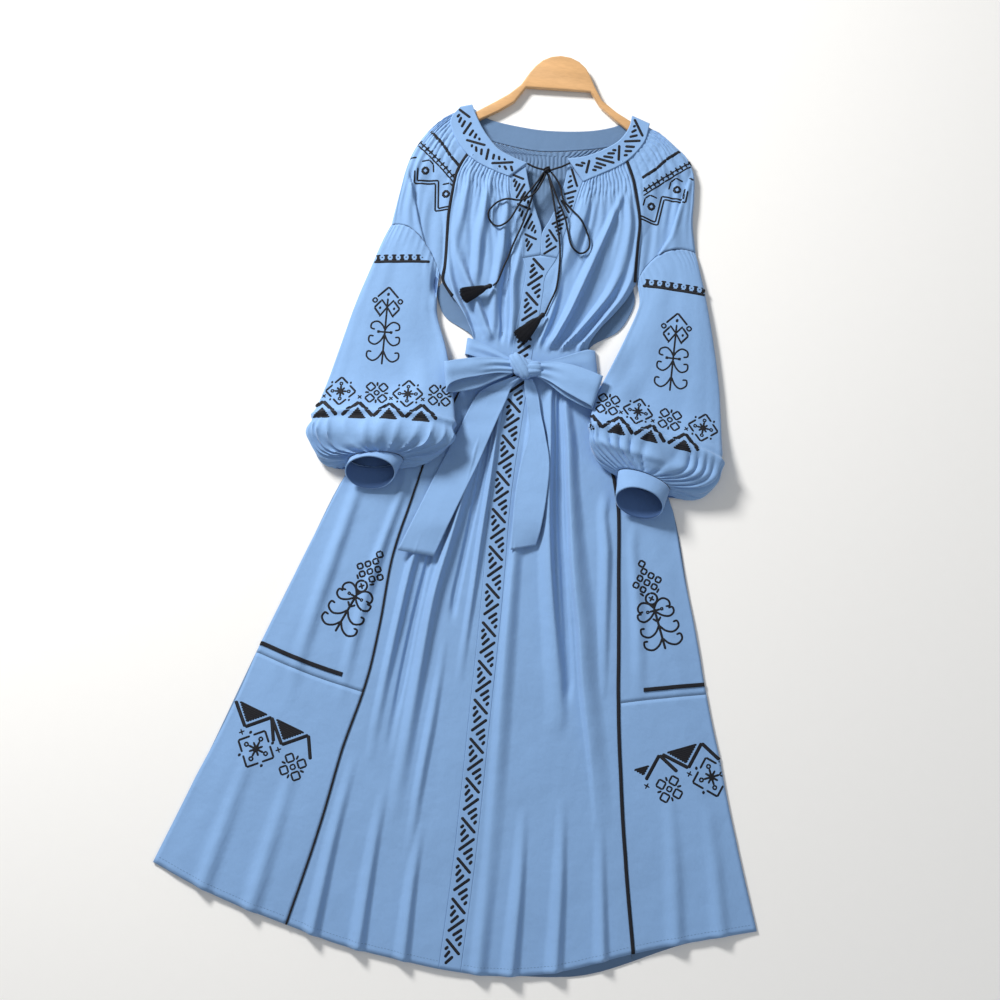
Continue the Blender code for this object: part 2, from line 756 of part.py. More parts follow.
def back_hem(x, y, part):
    """The back hangs a little lower than the front on one side."""
    near = smooth(1.0 - abs(x - BACK_HEM_CENTRE) / BACK_HEM_REACH)
    return y - BACK_HEM_DROP * near * smooth((part - 0.7) / 0.3)


def back_centre(collection):
    bodice = len(BODICE["left"])
    neck_rows = 2

    def place(column, row):
        share = column / BACK_COLUMNS
        if row < neck_rows:
            low = BACK_BAND
            at = share * (len(low) - 1)
            neck_x = spline([band.low_x for band in low], at)
            neck_y = spline([band.low_y for band in low], at)
            left, right = BODICE["left"][0], BODICE["right"][0]
            base_x = mix(left.outer_x + 1, right.outer_x - 1, share)
            base_y = mix(left.outer_y, right.outer_y, share)
            x = mix(neck_x, base_x, row / neck_rows)
            y = mix(neck_y - 1.0, base_y, row / neck_rows)
            wave = 1.0 if (column * 2) % 2 else 0.0
            return x, y, 0.9 * wave * (1.0, 0.7)[row]
        row -= neck_rows
        if row < bodice:
            left_x, left_y = back_side_point("left", row, 0)
            right_x, right_y = back_side_point("right", row, 0)
            x = mix(left_x + SEAM, right_x - SEAM, share)
            y = mix(left_y, right_y, share)
        else:
            part = BACK_STATIONS[row - bodice]
            x = mix(skirt_x(part, "seam_left") + SEAM / 2, skirt_x(part, "seam_right") - SEAM / 2, share)
            y = back_hem(x, row_y(part, x), part)
        return x, y, belt_lift(y)

    sheet("back_centre", collection, BACK_COLUMNS, neck_rows + bodice + len(BACK_STATIONS) - 1, place,
          "blue_cloth", fine_rows=2)


def back_side(side, collection):
    sign = sign_of(side)
    columns = 4

    def place(column, row):
        if row == 0:
            seam_x, seam_y = back_side_point(side, len(BODICE[side]) - 1, 0)
            start, end, y = seam_x, seam_x + sign * 14.0, seam_y
            x = mix(start, end, column / columns)
            return x, y, belt_lift(y)
        part = BACK_STATIONS[row - 1]
        start = skirt_x(part, "seam_" + side) + sign * SEAM / 2
        x = mix(start, skirt_x(part, "edge_" + side), column / columns)
        y = back_hem(x, row_y(part, x), part)
        return x, y, belt_lift(y)

    sheet("back_side_" + side, collection, columns, len(BACK_STATIONS), place, "blue_cloth")


def bent_line(start, middle, end, share):
    """A curve through three points."""
    control = [2 * middle[i] - 0.5 * (start[i] + end[i]) for i in range(2)]
    return [(1 - share) ** 2 * start[i] + 2 * share * (1 - share) * control[i] + share ** 2 * end[i]
            for i in range(2)]


def sleeve_cap(side, collection):
    """A raglan cap, folded at its outer edge: front layer, fold, back layer."""
    rows = CAPS[side]
    sign = sign_of(side)
    columns = CAP_FRONT_COLUMNS + CAP_BACK_COLUMNS

    def place(column, row):
        cap = rows[row]
        seam_x, seam_y = seam_point(side, row)
        inner = (seam_x + sign * SEAM, seam_y)
        top = column <= CAP_FRONT_COLUMNS
        if top:
            away = 1.0 - column / CAP_FRONT_COLUMNS
        else:
            away = (column - CAP_FRONT_COLUMNS) / CAP_BACK_COLUMNS
        share = away ** (1.7 if top else 1.35)
        if top and 0.5 < column < 1.25:
            share = 1.0 - SEAM_FLAT / 60.0
        x, y = bent_line((cap.outer_x, cap.outer_y), (cap.middle_x, cap.middle_y), inner, share)
        high = front_height(x, y) + CLOTH
        half = 0.5 * high
        if not top:
            return x, y, half * (1.0 - away) ** 4
        z = half + half * (1.0 - (1.0 - away) ** 4)
        if column < 1.25:
            z = front_height(*seam_point(side, row)) + CLOTH
        elif row < 3 and column < CAP_FRONT_COLUMNS - 0.75:
            z += SHIRR_HEIGHT * (1.0 if (column * 2) % 2 else 0.0) * (1.0, 0.9, 0.5)[row]
        return x, y, z

    shell("sleeve_cap_" + side, collection, columns, len(rows) - 1, place, "blue_cloth", fine_rows=3)


def sleeve_support(x, y):
    """How far a sleeve is held up where it lies on the skirt's side."""
    if y > 60:
        return 0.0
    part = max(0.0, -y / 745.0)
    left = skirt_x(part, "edge_left")
    right = skirt_x(part, "edge_right")
    inside = min(x - left, right - x)
    return SLEEVE_SUPPORT * smooth((inside + SUPPORT_RAMP) / SUPPORT_RAMP) * smooth((60.0 - y) / 40.0)


def cuff_point(side, share, angle):
    """A point of the cuff: share 0 is its seam with the sleeve, 1 its free edge."""
    first, last = CUFFS[side]
    x, y, z, across_x, across_y, rise_y, rise_z = [mix(low, high, share) for low, high in zip(first, last)]
    return (x + across_x * math.cos(angle), y + across_y * math.cos(angle) + rise_y * math.sin(angle),
            z + rise_z * math.sin(angle))


def lower_sleeve(side, collection):
    rings = SLEEVES[side]
    cap = CAPS[side][-1]
    armpit = seam_point(side, len(CAPS[side]) - 1)

    def seam_ring_point(share, rise, column):
        """The gathered seam runs along the cap's own last row."""
        curve = [bent_line((cap.outer_x, cap.outer_y), (cap.middle_x, cap.middle_y), armpit,
                           (share + step) * SLEEVE_TO_ARMPIT) for step in (-0.02, 0.0, 0.02)]
        along = Vector((curve[2][0] - curve[0][0], curve[2][1] - curve[0][1])).normalized()
        # The sleeve lies on the lower side of the seam, a little apart from the cap
        x = curve[1][0] + along.y * SLEEVE_SEAM * -sign_of(side)
        y = curve[1][1] - abs(along.x) * SLEEVE_SEAM
        high = front_height(x, y) + CLOTH
        flat = 0.5 + 0.5 * math.copysign(abs(rise) ** 0.5, rise)
        dip = 0.7 if column % 2 and rise > 0.2 else 0.0
        return x, y, high * flat - dip

    def place(column, row):
        angle = 2 * math.pi * column / SLEEVE_AROUND
        if row == len(rings) + 1:
            return cuff_point(side, CUFF_GAP, angle)
        share = 0.5 - 0.5 * math.copysign(abs(math.cos(angle)) ** 0.85, math.cos(angle))
        if row == 0:
            return seam_ring_point(share, math.sin(angle), column)
        ring = rings[row - 1]
        middle = (0.5 * (ring.outer_x + ring.inner_x), 0.5 * (ring.outer_y + ring.inner_y) + ring.bend)
        x, y = bent_line((ring.outer_x, ring.outer_y), middle, (ring.inner_x, ring.inner_y), share)
        power = 0.62 if math.sin(angle) > 0 else 0.45
        rise = 0.5 + 0.5 * math.copysign(abs(math.sin(angle)) ** power, math.sin(angle))
        y += ring.lean * (rise - 0.5)
        z = ring.height * rise + sleeve_support(x, y)
        if column % 2 and math.sin(angle) > 0.2:
            z -= ring.gather
        return x, y, z

    shell("lower_sleeve_" + side, collection, SLEEVE_AROUND, len(rings) + 1, place, "blue_cloth", closed=True)


def cuff(side, collection):
    across = 2

    def place(column, row):
        return cuff_point(side, row / across, 2 * math.pi * column / CUFF_AROUND)

    shell("cuff_" + side, collection, CUFF_AROUND, across, place, "blue_cloth", BAND_CLOTH, closed=True)


def belt(collection):
    def back(column, row):
        return mix(-86.5, 85.0, column / 4), mix(-6.0, 34.0, row), 0.0

    sheet("belt_back", collection, 4, 1, back, "blue_cloth")

    for side in ("left", "right"):
        wraps = BELT_WRAPS[side]

        def wrap(column, row, strips=wraps):
            strip = strips[row]
            share = column / 3
            crease = 0.7 * math.sin(share * math.pi) if row < 4 else 0.0
            return (mix(strip.lower_x, strip.upper_x, share), mix(strip.lower_y, strip.upper_y, share),
                    strip.z + crease)

        shell("belt_" + side, collection, 3, len(wraps) - 1, wrap, "blue_cloth")

        loops = BOW_LOOPS[side]
        count = len(loops)

        def loop(column, row, strips=loops, count=count):
            out = row < count
            strip = strips[min(row, 2 * count - row, count - 1)]
            share = column / 4
            x = mix(strip.lower_x, strip.upper_x, share)
            y = mix(strip.lower_y, strip.upper_y, share)
            wide = smooth(min(row, 2 * count - row) / 2.0)
            z = strip.z if out else strip.z + mix(3.4, LOOP_HEIGHT, wide)
            if row == count:
                x += math.copysign(4.0, strip.lower_x)
                z = strip.z + 0.5 * LOOP_HEIGHT
            return x, y, z + 1.2 * wide * math.sin(share * math.pi) * (1 if not out else 0)

        shell("bow_loop_" + side, collection, 4, 2 * count, loop, "blue_cloth")

        tails = TAILS[side]

        def tail(column, row, strips=tails):
            strip = strips[row]
            share = column / 3
            x = mix(strip.upper_x, strip.lower_x, share)
            y = mix(strip.upper_y, strip.lower_y, share)
            rest = drape_height(x, y, 15.0) + LAID_ON + 0.3
            return x, y, max(rest, TAIL_AT_KNOT if row == 0 else 0.0)

        sheet("belt_tail_" + side, collection, 3, len(tails) - 1, tail, "blue_cloth")

    shape = bmesh.new()
    bmesh.ops.create_cube(shape, size=1.0)
    bmesh.ops.scale(shape, vec=KNOT_SIZE, verts=shape.verts)
    bmesh.ops.subdivide_edges(shape, edges=shape.edges[:], cuts=3, use_grid_fill=True)
    for point in shape.verts:
        away = Vector((point.co.x / KNOT_SIZE[0], point.co.y / KNOT_SIZE[1], point.co.z / KNOT_SIZE[2])) * 2
        shrink = 1.0 - 0.075 * max(0.0, away.length_squared - 1.0)
        point.co = Vector((point.co.x * shrink, point.co.y * shrink, point.co.z * shrink)) + Vector(KNOT_AT)
    new_object("belt_knot", to_mesh(shape, "belt_knot"), "blue_cloth", collection)


def cord_points(stops):
    """Points a step apart on a smooth curve through the route."""
    fine = [Vector([spline([getattr(stop, key) for stop in stops], at / 20.0) for key in ("x", "y", "lift")])
            for at in range(20 * (len(stops) - 1) + 1)]
    length = sum((b.xy - a.xy).length for a, b in zip(fine, fine[1:]))
    count = max(2, round(length / CORD_STEP))
    points, walked, wanted = [fine[0]], 0.0, length / count
    for a, b in zip(fine, fine[1:]):
        walked += (b.xy - a.xy).length
        if walked >= wanted * len(points) - 1e-6 and len(points) < count:
            points.append(b)
    points.append(fine[-1])
    return points


def cord_z(point):
    return drape_height(point.x, point.y, 7.0) + 1.0 + CORD_CLEAR + CORD_RADIUS + point.z


def cord(name, stops, collection):
    line = bpy.data.curves.new(name, "CURVE")
    line.dimensions = "3D"
    line.bevel_depth = CORD_RADIUS * MM
    line.bevel_resolution = 2
    line.use_fill_caps = True
    run = line.splines.new("POLY")
    points = cord_points(stops)
    run.points.add(len(points) - 1)
    for target, point in zip(run.points, points):
        target.co = (point.x * MM, point.y * MM, cord_z(point) * MM, 1.0)
    made = bpy.data.objects.new(name, line)
    line.materials.append(material("dark_trim"))
    collection.objects.link(made)
    return made


def tassel(name, spec, collection):
    """A head with strands drawn out of its end face, each apart from the next."""
    wide, high = TASSEL_STRANDS
    start = Vector((spec.x, spec.y))
    end = Vector((spec.to_x, spec.to_y))
    along = (end - start).normalized()
    across = Vector((-along.y, along.x))
    length = (end - start).length
    base = max(drape_height(*start.lerp(end, share), 12.0) for share in (0.0, 0.33, 0.66, 1.0)) + TASSEL_CLEAR
    shape = bmesh.new()
    bmesh.ops.create_grid(shape, x_segments=wide, y_segments=high, size=0.5)
    start_faces = shape.faces[:]
    made = bmesh.ops.extrude_face_region(shape, geom=start_faces)
    back = [item for item in made["geom"] if isinstance(item, bmesh.types.BMVert)]
    bmesh.ops.translate(shape, vec=(0, 0, -1.0), verts=back)
    bmesh.ops.recalc_face_normals(shape, faces=shape.faces)
    ends = [face for face in shape.faces if face.normal.z > 0.9]
    bmesh.ops.inset_individual(shape, faces=ends, thickness=0.022)
    for reach in (1.0, 2.0):
        out = bmesh.ops.extrude_discrete_faces(shape, faces=ends)
        ends = out["faces"]
        points = {point for face in ends for point in face.verts}
        bmesh.ops.translate(shape, vec=(0, 0, 1.0), verts=list(points))
    for point in shape.verts:
        step = point.co.z
        if step <= 0.5:
            run = (1.0 + step) * TASSEL_HEAD
            width = TASSEL_HEAD_WIDTH * (0.7 + 0.3 * (1.0 + step))
        else:
            run = TASSEL_HEAD + (length - TASSEL_HEAD) * step / 2.0
            run += 2.0 * math.sin(7.0 * point.co.x + 3.0) * (step > 1.5)
            width = TASSEL_HEAD_WIDTH * (1.0 + 0.75 * step)
        flat = start + along * run + across * (point.co.x * width)
        point.co = Vector((flat.x, flat.y, base + 3.2 + point.co.y * 5.6))
    bmesh.ops.remove_doubles(shape, verts=shape.verts, dist=0.001)
    new_object(name, to_mesh(shape, name), "dark_trim", collection)


def drawstring(collection):
    for name, stops in CORDS.items():
        cord(name, stops, collection)
    shape = bmesh.new()
    bmesh.ops.create_uvsphere(shape, u_segments=10, v_segments=6, radius=CORD_KNOT_RADIUS)
    x, y = CORD_KNOT
    height = drape_height(x, y, 7.0) + 1.0 + CORD_CLEAR + CORD_KNOT_RADIUS
    bmesh.ops.translate(shape, vec=(x, y, height), verts=shape.verts)
    new_object("cord_knot", to_mesh(shape, "cord_knot"), "dark_trim", collection)
    for name, spec in TASSELS.items():
        tassel(name, spec, collection)


def hanger(collection):
    centre_x, centre_y = HANGER_CENTRE
    arch = []
    for step in range(1, 9):
        angle = math.radians(mix(8.0, 164.0, step / 9.0))
        arch.append((centre_x + HANGER_ARCH * math.cos(angle) * 1.02, centre_y + HANGER_ARCH * math.sin(angle)))
    outline = HANGER_LEFT + HANGER_RIGHT + HANGER_TOP_RIGHT + arch + HANGER_TOP_LEFT
    line = bpy.data.curves.new("hanger", "CURVE")
    line.dimensions = "2D"
    line.fill_mode = "BOTH"
    line.extrude = 0.5 * HANGER_THICK * MM
    run = line.splines.new("POLY")
    run.use_cyclic_u = True
    run.points.add(len(outline) - 1)
    for target, (x, y) in zip(run.points, outline):
        target.co = (x * MM, y * MM, 0.0, 1.0)
    made = bpy.data.objects.new("hanger", line)
    made.location = (0.0, 0.0, HANGER_Z * MM)
    line.materials.append(material("honey_wood"))
    collection.objects.link(made)


def main():
    for old in list(bpy.data.objects):
        bpy.data.objects.remove(old, do_unlink=True)
    collection = bpy.data.collections.new("a_line_dress")
    bpy.context.scene.collection.children.link(collection)
    hanger(collection)
    back_centre(collection)
    neckband_back(collection)
    centre_band(collection)
    for side in ("left", "right"):
        back_side(side, collection)
        front_panel(side, collection)
        side_panels(side, collection)
        seam_trim(side, collection)
        v_band(side, collection)
        neckband_front(side, collection)
        sleeve_cap(side, collection)
        lower_sleeve(side, collection)
        cuff(side, collection)
    belt(collection)
    drawstring(collection)


main()
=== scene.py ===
"""The looks of an a-line dress on a wooden hanger, laid flat on its back.

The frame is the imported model: the floor is z = 0, +Y runs towards the neck, +X towards the left arm,
and the origin is under the belt's knot. Tables are in millimetres and MM turns them into metres.
"""

import math
from collections import namedtuple

import bmesh
import bpy
from bpy.props import FloatProperty, FloatVectorProperty, IntProperty, PointerProperty
from mathutils import Matrix, Vector, noise
from mathutils.bvhtree import BVHTree


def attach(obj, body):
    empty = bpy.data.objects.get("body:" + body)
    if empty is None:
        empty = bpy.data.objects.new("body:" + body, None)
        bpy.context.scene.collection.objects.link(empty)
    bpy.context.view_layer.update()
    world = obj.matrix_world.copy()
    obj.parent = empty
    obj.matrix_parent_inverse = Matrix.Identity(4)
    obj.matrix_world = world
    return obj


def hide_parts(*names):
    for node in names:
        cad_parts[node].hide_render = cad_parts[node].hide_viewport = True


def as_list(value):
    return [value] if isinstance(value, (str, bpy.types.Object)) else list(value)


bl_info = {
    "name": "A-line dress",
    "version": (1, 0, 0),
    "blender": (4, 5, 0),
    "location": "View3D > Sidebar > Dress",
    "description": "Cloth, bands, stitching, drawstring and hanger of an a-line dress laid flat",
    "category": "Object",
}

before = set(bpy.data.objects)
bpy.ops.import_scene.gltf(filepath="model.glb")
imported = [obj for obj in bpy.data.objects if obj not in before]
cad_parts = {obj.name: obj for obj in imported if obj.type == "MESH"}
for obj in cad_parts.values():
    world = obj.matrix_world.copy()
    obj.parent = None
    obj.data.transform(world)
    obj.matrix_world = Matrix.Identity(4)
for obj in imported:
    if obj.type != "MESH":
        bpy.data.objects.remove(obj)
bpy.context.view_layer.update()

MM = 0.001
SIDES = ("left", "right")

# Cloth and clearances
CLOTH = 1.2
BAND_CLOTH = 1.8
TAPE_CLOTH = 0.8
SEAM = 0.3
LAID_ON = 0.35
FLUSH = 0.2
NECKBAND_LIFT = 2.2

# Widths of the narrow pieces
CENTRE_BAND_HALF = 14.5
SEAM_TAPE_HALF = 2.0
SKIRT_TAPE_HALF = {"left": 1.35, "right": 2.4}
KNEE_TAPE_HALF = 0.0036
CORD_RADIUS = 1.5

# Heights of the front layer's underside above the floor
EDGE_HEIGHT = 1.75
LOFT = 2.5
LOFT_REACH = 38.0
SHOULDER_LIFT = 7.0
SHOULDER_FROM = 140.0
SHOULDER_TO = 285.0
BELT_BACK_LIFT = 1.6
BELT_BACK_LOW = -9.0
BELT_BACK_HIGH = 48.0
BELT_RAMP = 9.0

# The rows of the bodice from the neckband down to the waist, for each front panel:
# the outer end lies on the raglan seam and then on the body's edge,
# the inner end on the edge of the V band and then of the centre band.
Row = namedtuple("Row", "outer_x outer_y inner_x inner_y")
BODICE = {
    "left": [
        Row(-126, 311, -61, 285),
        Row(-138, 282, -59, 264),
        Row(-141, 248, -51, 240),
        Row(-142, 215, -43, 215),
        Row(-140, 185, -35, 190),
        Row(-138, 158, -27, 165),
        Row(-137, 138, -20.5, 143),
        Row(-137, 118, -21, 120),
        Row(-125, 101, -21.5, 98),
        Row(-109, 82, -22.5, 78),
        Row(-95, 63, -23.5, 58),
        Row(-83, 43, -24.5, 38),
        Row(-80, 18, -25, 14),
        Row(-82, -8, -26, -10),
    ],
    "right": [
        Row(102, 331, 44, 290),
        Row(116, 301, 40, 270),
        Row(126, 268, 36, 248),
        Row(133, 238, 31, 225),
        Row(134, 208, 26, 199),
        Row(135, 182, 21, 171),
        Row(136, 162, 8.5, 143),
        Row(136, 143, 8, 120),
        Row(126, 120, 7.5, 98),
        Row(111, 97, 6.8, 78),
        Row(94, 73, 5.5, 58),
        Row(82, 47, 4.5, 38),
        Row(85, 18, 4, 14),
        Row(93, -8, 3, -10),
    ],
}

# The skirt's seams at each part of its length, from the waist (0) to the hem (1)
Skirt = namedtuple("Skirt", "part edge_left seam_left centre seam_right edge_right")
SKIRT = [
    Skirt(0.00, -108, -80, -11.0, 95, 112),
    Skirt(0.08, -152, -98, -12.0, 112, 158),
    Skirt(0.16, -196, -121, -13.5, 135, 198),
    Skirt(0.24, -232, -134, -13.0, 152, 228),
    Skirt(0.36, -262, -151, -8.0, 163, 253),
    Skirt(0.48, -290, -155, -4.5, 174, 280),
    Skirt(0.58, -314, -162, -2.5, 183, 301),
    Skirt(0.70, -338, -181, 0.5, 197, 329),
    Skirt(0.84, -373, -197, 3.0, 216, 361),
    Skirt(1.00, -411, -221, 2.5, 241, 401),
]
Hem = namedtuple("Hem", "x y")
HEM = [
    Hem(-411, -738), Hem(-342, -763), Hem(-285, -780), Hem(-220, -795), Hem(-146, -811),
    Hem(-64, -820), Hem(3, -825), Hem(70, -823), Hem(148, -807), Hem(241, -772),
    Hem(327, -744), Hem(401, -722),
]
HEM_HALF = 406.0
SKIRT_LENGTH = 745.0
BACK_HEM_DROP = 13.0
BACK_HEM_CENTRE = 205.0
BACK_HEM_REACH = 125.0
KNEE = {"left": 0.60, "right": 0.58}
TAPE_ABOVE_KNEE = 0.018

# Folds of the front, from end to end: place, reach to the left and to the right, height.
# A ridge has a positive height, a valley a negative one, and a short reach makes that side steep.
Fold = namedtuple("Fold", "x y left right height")
FOLDS = [
    # Left front of the bodice
    [(-86, 44, 6, 7, 5), (-98, 68, 6, 8, 6), (-116, 96, 6, 9, 6), (-129, 128, 6, 9, 4), (-135, 170, 5, 8, 1)],
    [(-60, 44, 12, 9, 5), (-80, 82, 14, 9, 7), (-98, 116, 15, 8, 8), (-116, 146, 14, 12, 6),
     (-130, 182, 9, 16, 2)],
    [(-118, 290, 6, 6, 1), (-121, 250, 8, 7, 4), (-123, 210, 9, 8, 4), (-124, 176, 8, 8, 1)],
    [(-88, 284, 7, 7, 1), (-91, 240, 11, 9, 5), (-92, 190, 13, 10, 6), (-90, 140, 13, 9, 4)],
    [(-62, 262, 7, 6, 1), (-59, 218, 10, 8, 5), (-58, 165, 12, 8, 6), (-60, 112, 12, 9, 5),
     (-56, 62, 9, 8, 3)],
    [(-32, 178, 5, 8, 2), (-35, 152, 5, 10, 5), (-37, 128, 4, 12, 7), (-32, 88, 4, 12, 6),
     (-29, 44, 4, 10, 5)],
    [(-48, 205, 6, 6, -1), (-48, 150, 6, 6, -3), (-47, 100, 7, 5, -3), (-42, 60, 6, 5, -3)],
    # Right front of the bodice
    [(22, 26, 8, 4, 7), (36, 56, 10, 4.5, 10), (50, 92, 12, 5, 11), (62, 130, 14, 6, 11),
     (74, 170, 14, 6, 9), (86, 212, 12, 5, 7), (97, 252, 9, 5, 4), (106, 286, 6, 6, 1)],
    [(42, 34, 6, 4, 6), (62, 60, 8, 5, 8), (84, 94, 10, 6, 8), (103, 128, 12, 9, 7), (114, 165, 12, 11, 5),
     (118, 220, 11, 11, 4), (114, 272, 8, 8, 2)],
    [(70, 44, 7, 4, 6), (87, 68, 8, 5, 7), (104, 95, 9, 6, 7), (121, 124, 9, 7, 6), (131, 154, 9, 5, 4),
     (132, 190, 8, 4, 1)],
    [(26, 130, 9, 9, 1), (38, 180, 13, 14, 5), (48, 230, 13, 14, 5), (54, 276, 8, 8, 1)],
    [(13, 44, 5, 5, 3), (22, 80, 7, 7, 5), (28, 116, 8, 8, 4), (30, 150, 8, 8, 1)],
    # Skirt, right of the band
    [(38, -34, 12, 6, 5), (46, -100, 14, 6, 8), (53, -170, 16, 6, 10), (62, -240, 18, 7, 10),
     (74, -310, 20, 9, 9), (90, -390, 22, 12, 7), (106, -470, 24, 14, 3)],
    [(50, -38, 4, 4, -2), (58, -95, 5, 5, -3), (66, -155, 6, 5, -3), (75, -215, 7, 5, -3),
     (87, -275, 9, 6, -3), (100, -345, 10, 6, -3), (114, -425, 12, 8, -2)],
    [(60, -44, 5, 12, 5), (70, -95, 6, 16, 8), (79, -155, 6, 18, 9), (89, -215, 6, 22, 10),
     (101, -280, 7, 26, 10), (117, -350, 7, 28, 9), (132, -430, 7, 28, 8), (154, -520, 8, 26, 5),
     (172, -600, 8, 24, 1)],
    [(14, -60, 6, 10, 3), (15, -250, 8, 14, 5), (18, -330, 10, 16, 6), (22, -420, 10, 18, 6),
     (28, -520, 12, 18, 5), (34, -640, 12, 18, 3), (38, -760, 14, 16, 5), (40, -830, 14, 16, 6)],
    # Skirt, left of the band
    [(-31, -50, 5, 5, 3), (-31, -150, 6, 6, 6), (-33, -240, 7, 6, 6), (-34, -330, 8, 6, 4),
     (-36, -420, 9, 8, 1)],
    [(-41, -80, 5, 5, -2), (-46, -170, 6, 6, -3), (-51, -250, 7, 6, -3), (-57, -330, 8, 7, -3)],
    [(-50, -60, 6, 7, 4), (-61, -160, 9, 8, 8), (-73, -245, 10, 9, 10), (-86, -330, 11, 9, 10),
     (-91, -420, 13, 11, 8), (-95, -520, 14, 13, 5), (-99, -620, 14, 14, 1)],
    [(-101, -280, 5, 6, -2), (-108, -360, 7, 7, -3), (-113, -440, 8, 8, -3), (-118, -520, 8, 8, -1)],
    [(-103, -182, 9, 9, 3), (-113, -230, 10, 10, 5), (-124, -300, 10, 8, 7), (-131, -380, 10, 8, 7),
     (-137, -460, 10, 9, 4), (-142, -540, 10, 10, 1)],
    [(-64, -420, 8, 8, 1), (-66, -500, 10, 9, 4), (-70, -580, 10, 9, 4), (-72, -660, 10, 9, 1)],
    # Waves at the hem
    [(-164, -560, 10, 10, 0), (-176, -680, 14, 10, 5), (-186, -815, 17, 12, 8)],
    [(-118, -600, 10, 10, 0), (-120, -700, 15, 9, 5), (-122, -825, 18, 11, 8)],
    [(-62, -640, 10, 10, 0), (-62, -730, 14, 9, 5), (-60, -830, 17, 11, 7)],
    [(72, -600, 10, 10, 0), (80, -700, 15, 10, 5), (84, -830, 18, 12, 8)],
    [(122, -580, 10, 10, 0), (134, -690, 15, 10, 5), (142, -820, 18, 12, 8)],
    [(176, -600, 10, 10, 0), (190, -700, 13, 10, 4), (204, -800, 16, 11, 7)],
    [(-238, -560, 12, 12, 0), (-256, -680, 16, 14, 4), (-272, -790, 19, 14, 7)],
    [(-296, -540, 12, 12, 0), (-320, -660, 16, 14, 4), (-342, -780, 19, 14, 6)],
    [(262, -540, 12, 12, 0), (282, -650, 16, 14, 4), (300, -770, 19, 14, 7)],
    [(316, -560, 12, 12, 0), (338, -650, 15, 13, 3), (358, -750, 17, 13, 5)],
    # Sides of the skirt
    [(-150, -190, 9, 9, 3), (-172, -300, 12, 9, 5), (-186, -400, 12, 10, 4), (-192, -470, 12, 10, 1)],
    [(-214, -200, 14, 12, 3), (-232, -300, 16, 13, 5), (-250, -400, 16, 13, 4), (-262, -480, 16, 13, 1)],
    [(176, -230, 10, 12, 2), (196, -330, 12, 14, 4), (208, -420, 12, 14, 1)],
    [(132, -192, 12, 9, 3), (142, -240, 14, 10, 5), (150, -320, 13, 9, 4), (160, -420, 12, 8, 1)],
]

# Sleeve caps: one row for each bodice row down to the armpit, outer fold and middle point
Cap = namedtuple("Cap", "outer_x outer_y middle_x middle_y")
CAPS = {
    "left": [
        Cap(-143, 379, -154, 350), Cap(-172, 358, -168, 322), Cap(-192, 333, -178, 293),
        Cap(-206, 304, -184, 266), Cap(-213, 275, -186, 242), Cap(-217, 240, -186, 218),
        Cap(-220, 212, -183, 197), Cap(-222, 190, -180, 180),
    ],
    "right": [
        Cap(128, 387, 121, 361), Cap(150, 377, 142, 342), Cap(172, 361, 156, 315),
        Cap(190, 346, 164, 294), Cap(203, 321, 168, 268), Cap(207, 286, 168, 242),
        Cap(209, 248, 167, 220), Cap(218, 206, 167, 196),
    ],
}
# Rings of the lower sleeves: outer and inner end of the flat section, bend of its middle
# along the sleeve, full height, lean of the top along Y and height of the gathers
Ring = namedtuple("Ring", "outer_x outer_y inner_x inner_y bend height lean gather")
SLEEVES = {
    "left": [
        Ring(-231, 164, -143, 101, 21, 10, 0, 0.8),
        Ring(-242, 122, -141, 82, 12, 12, 0, 0.4),
        Ring(-256, 65, -137, 60, 4, 14, 0, 0.0),
        Ring(-268, 0, -118, 14, 0, 14, 0, 0.0),
        Ring(-277, -50, -102, -38, 2, 17, 0, 0.0),
        Ring(-285, -88, -93, -76, 4, 26, 2, 0.6),
        Ring(-291, -113, -89, -101, 6, 38, 8, 1.2),
        Ring(-288, -139, -94, -124, 0, 40, 4, 1.4),
        Ring(-268, -164, -118, -143, -2, 34, 26, 1.8),
    ],
    "right": [
        Ring(226, 182, 146, 124, 21, 10, 0, 0.8),
        Ring(240, 140, 144, 105, 12, 12, 0, 0.4),
        Ring(256, 81, 133, 68, 4, 14, 0, 0.0),
        Ring(271, 16, 118, 22, 0, 14, 0, 0.0),
        Ring(279, -35, 103, -22, 2, 17, 0, 0.0),
        Ring(284, -72, 98, -50, 4, 26, 2, 0.6),
        Ring(288, -100, 97, -72, 6, 38, 8, 1.2),
        Ring(286, -124, 98, -92, 0, 40, 4, 1.4),
        Ring(262, -146, 112, -112, -2, 34, 26, 1.8),
    ],
}
SLEEVE_SEAM = 0.4
SLEEVE_TO_ARMPIT = 0.93
SLEEVE_SUPPORT = 8.2
SUPPORT_RAMP = 34.0

# Cuffs: the seam ring and the free ring, each by its middle, half across and half rise
Cuff = namedtuple("Cuff", "x y z across_x across_y rise_y rise_z")
CUFFS = {
    "left": [
        Cuff(-192, -158, 22.5, -37, -5, 9, 12.5),
        Cuff(-197, -178, 28.0, -35, -2, 20, 17.5),
    ],
    "right": [
        Cuff(181, -140, 22.5, 37, -8, 9, 12.5),
        Cuff(178, -172, 28.0, 34, -4, 18, 17.5),
    ],
}
# Where the sleeve ends before the cuff, as a share of the cuff's length
CUFF_GAP = -0.04

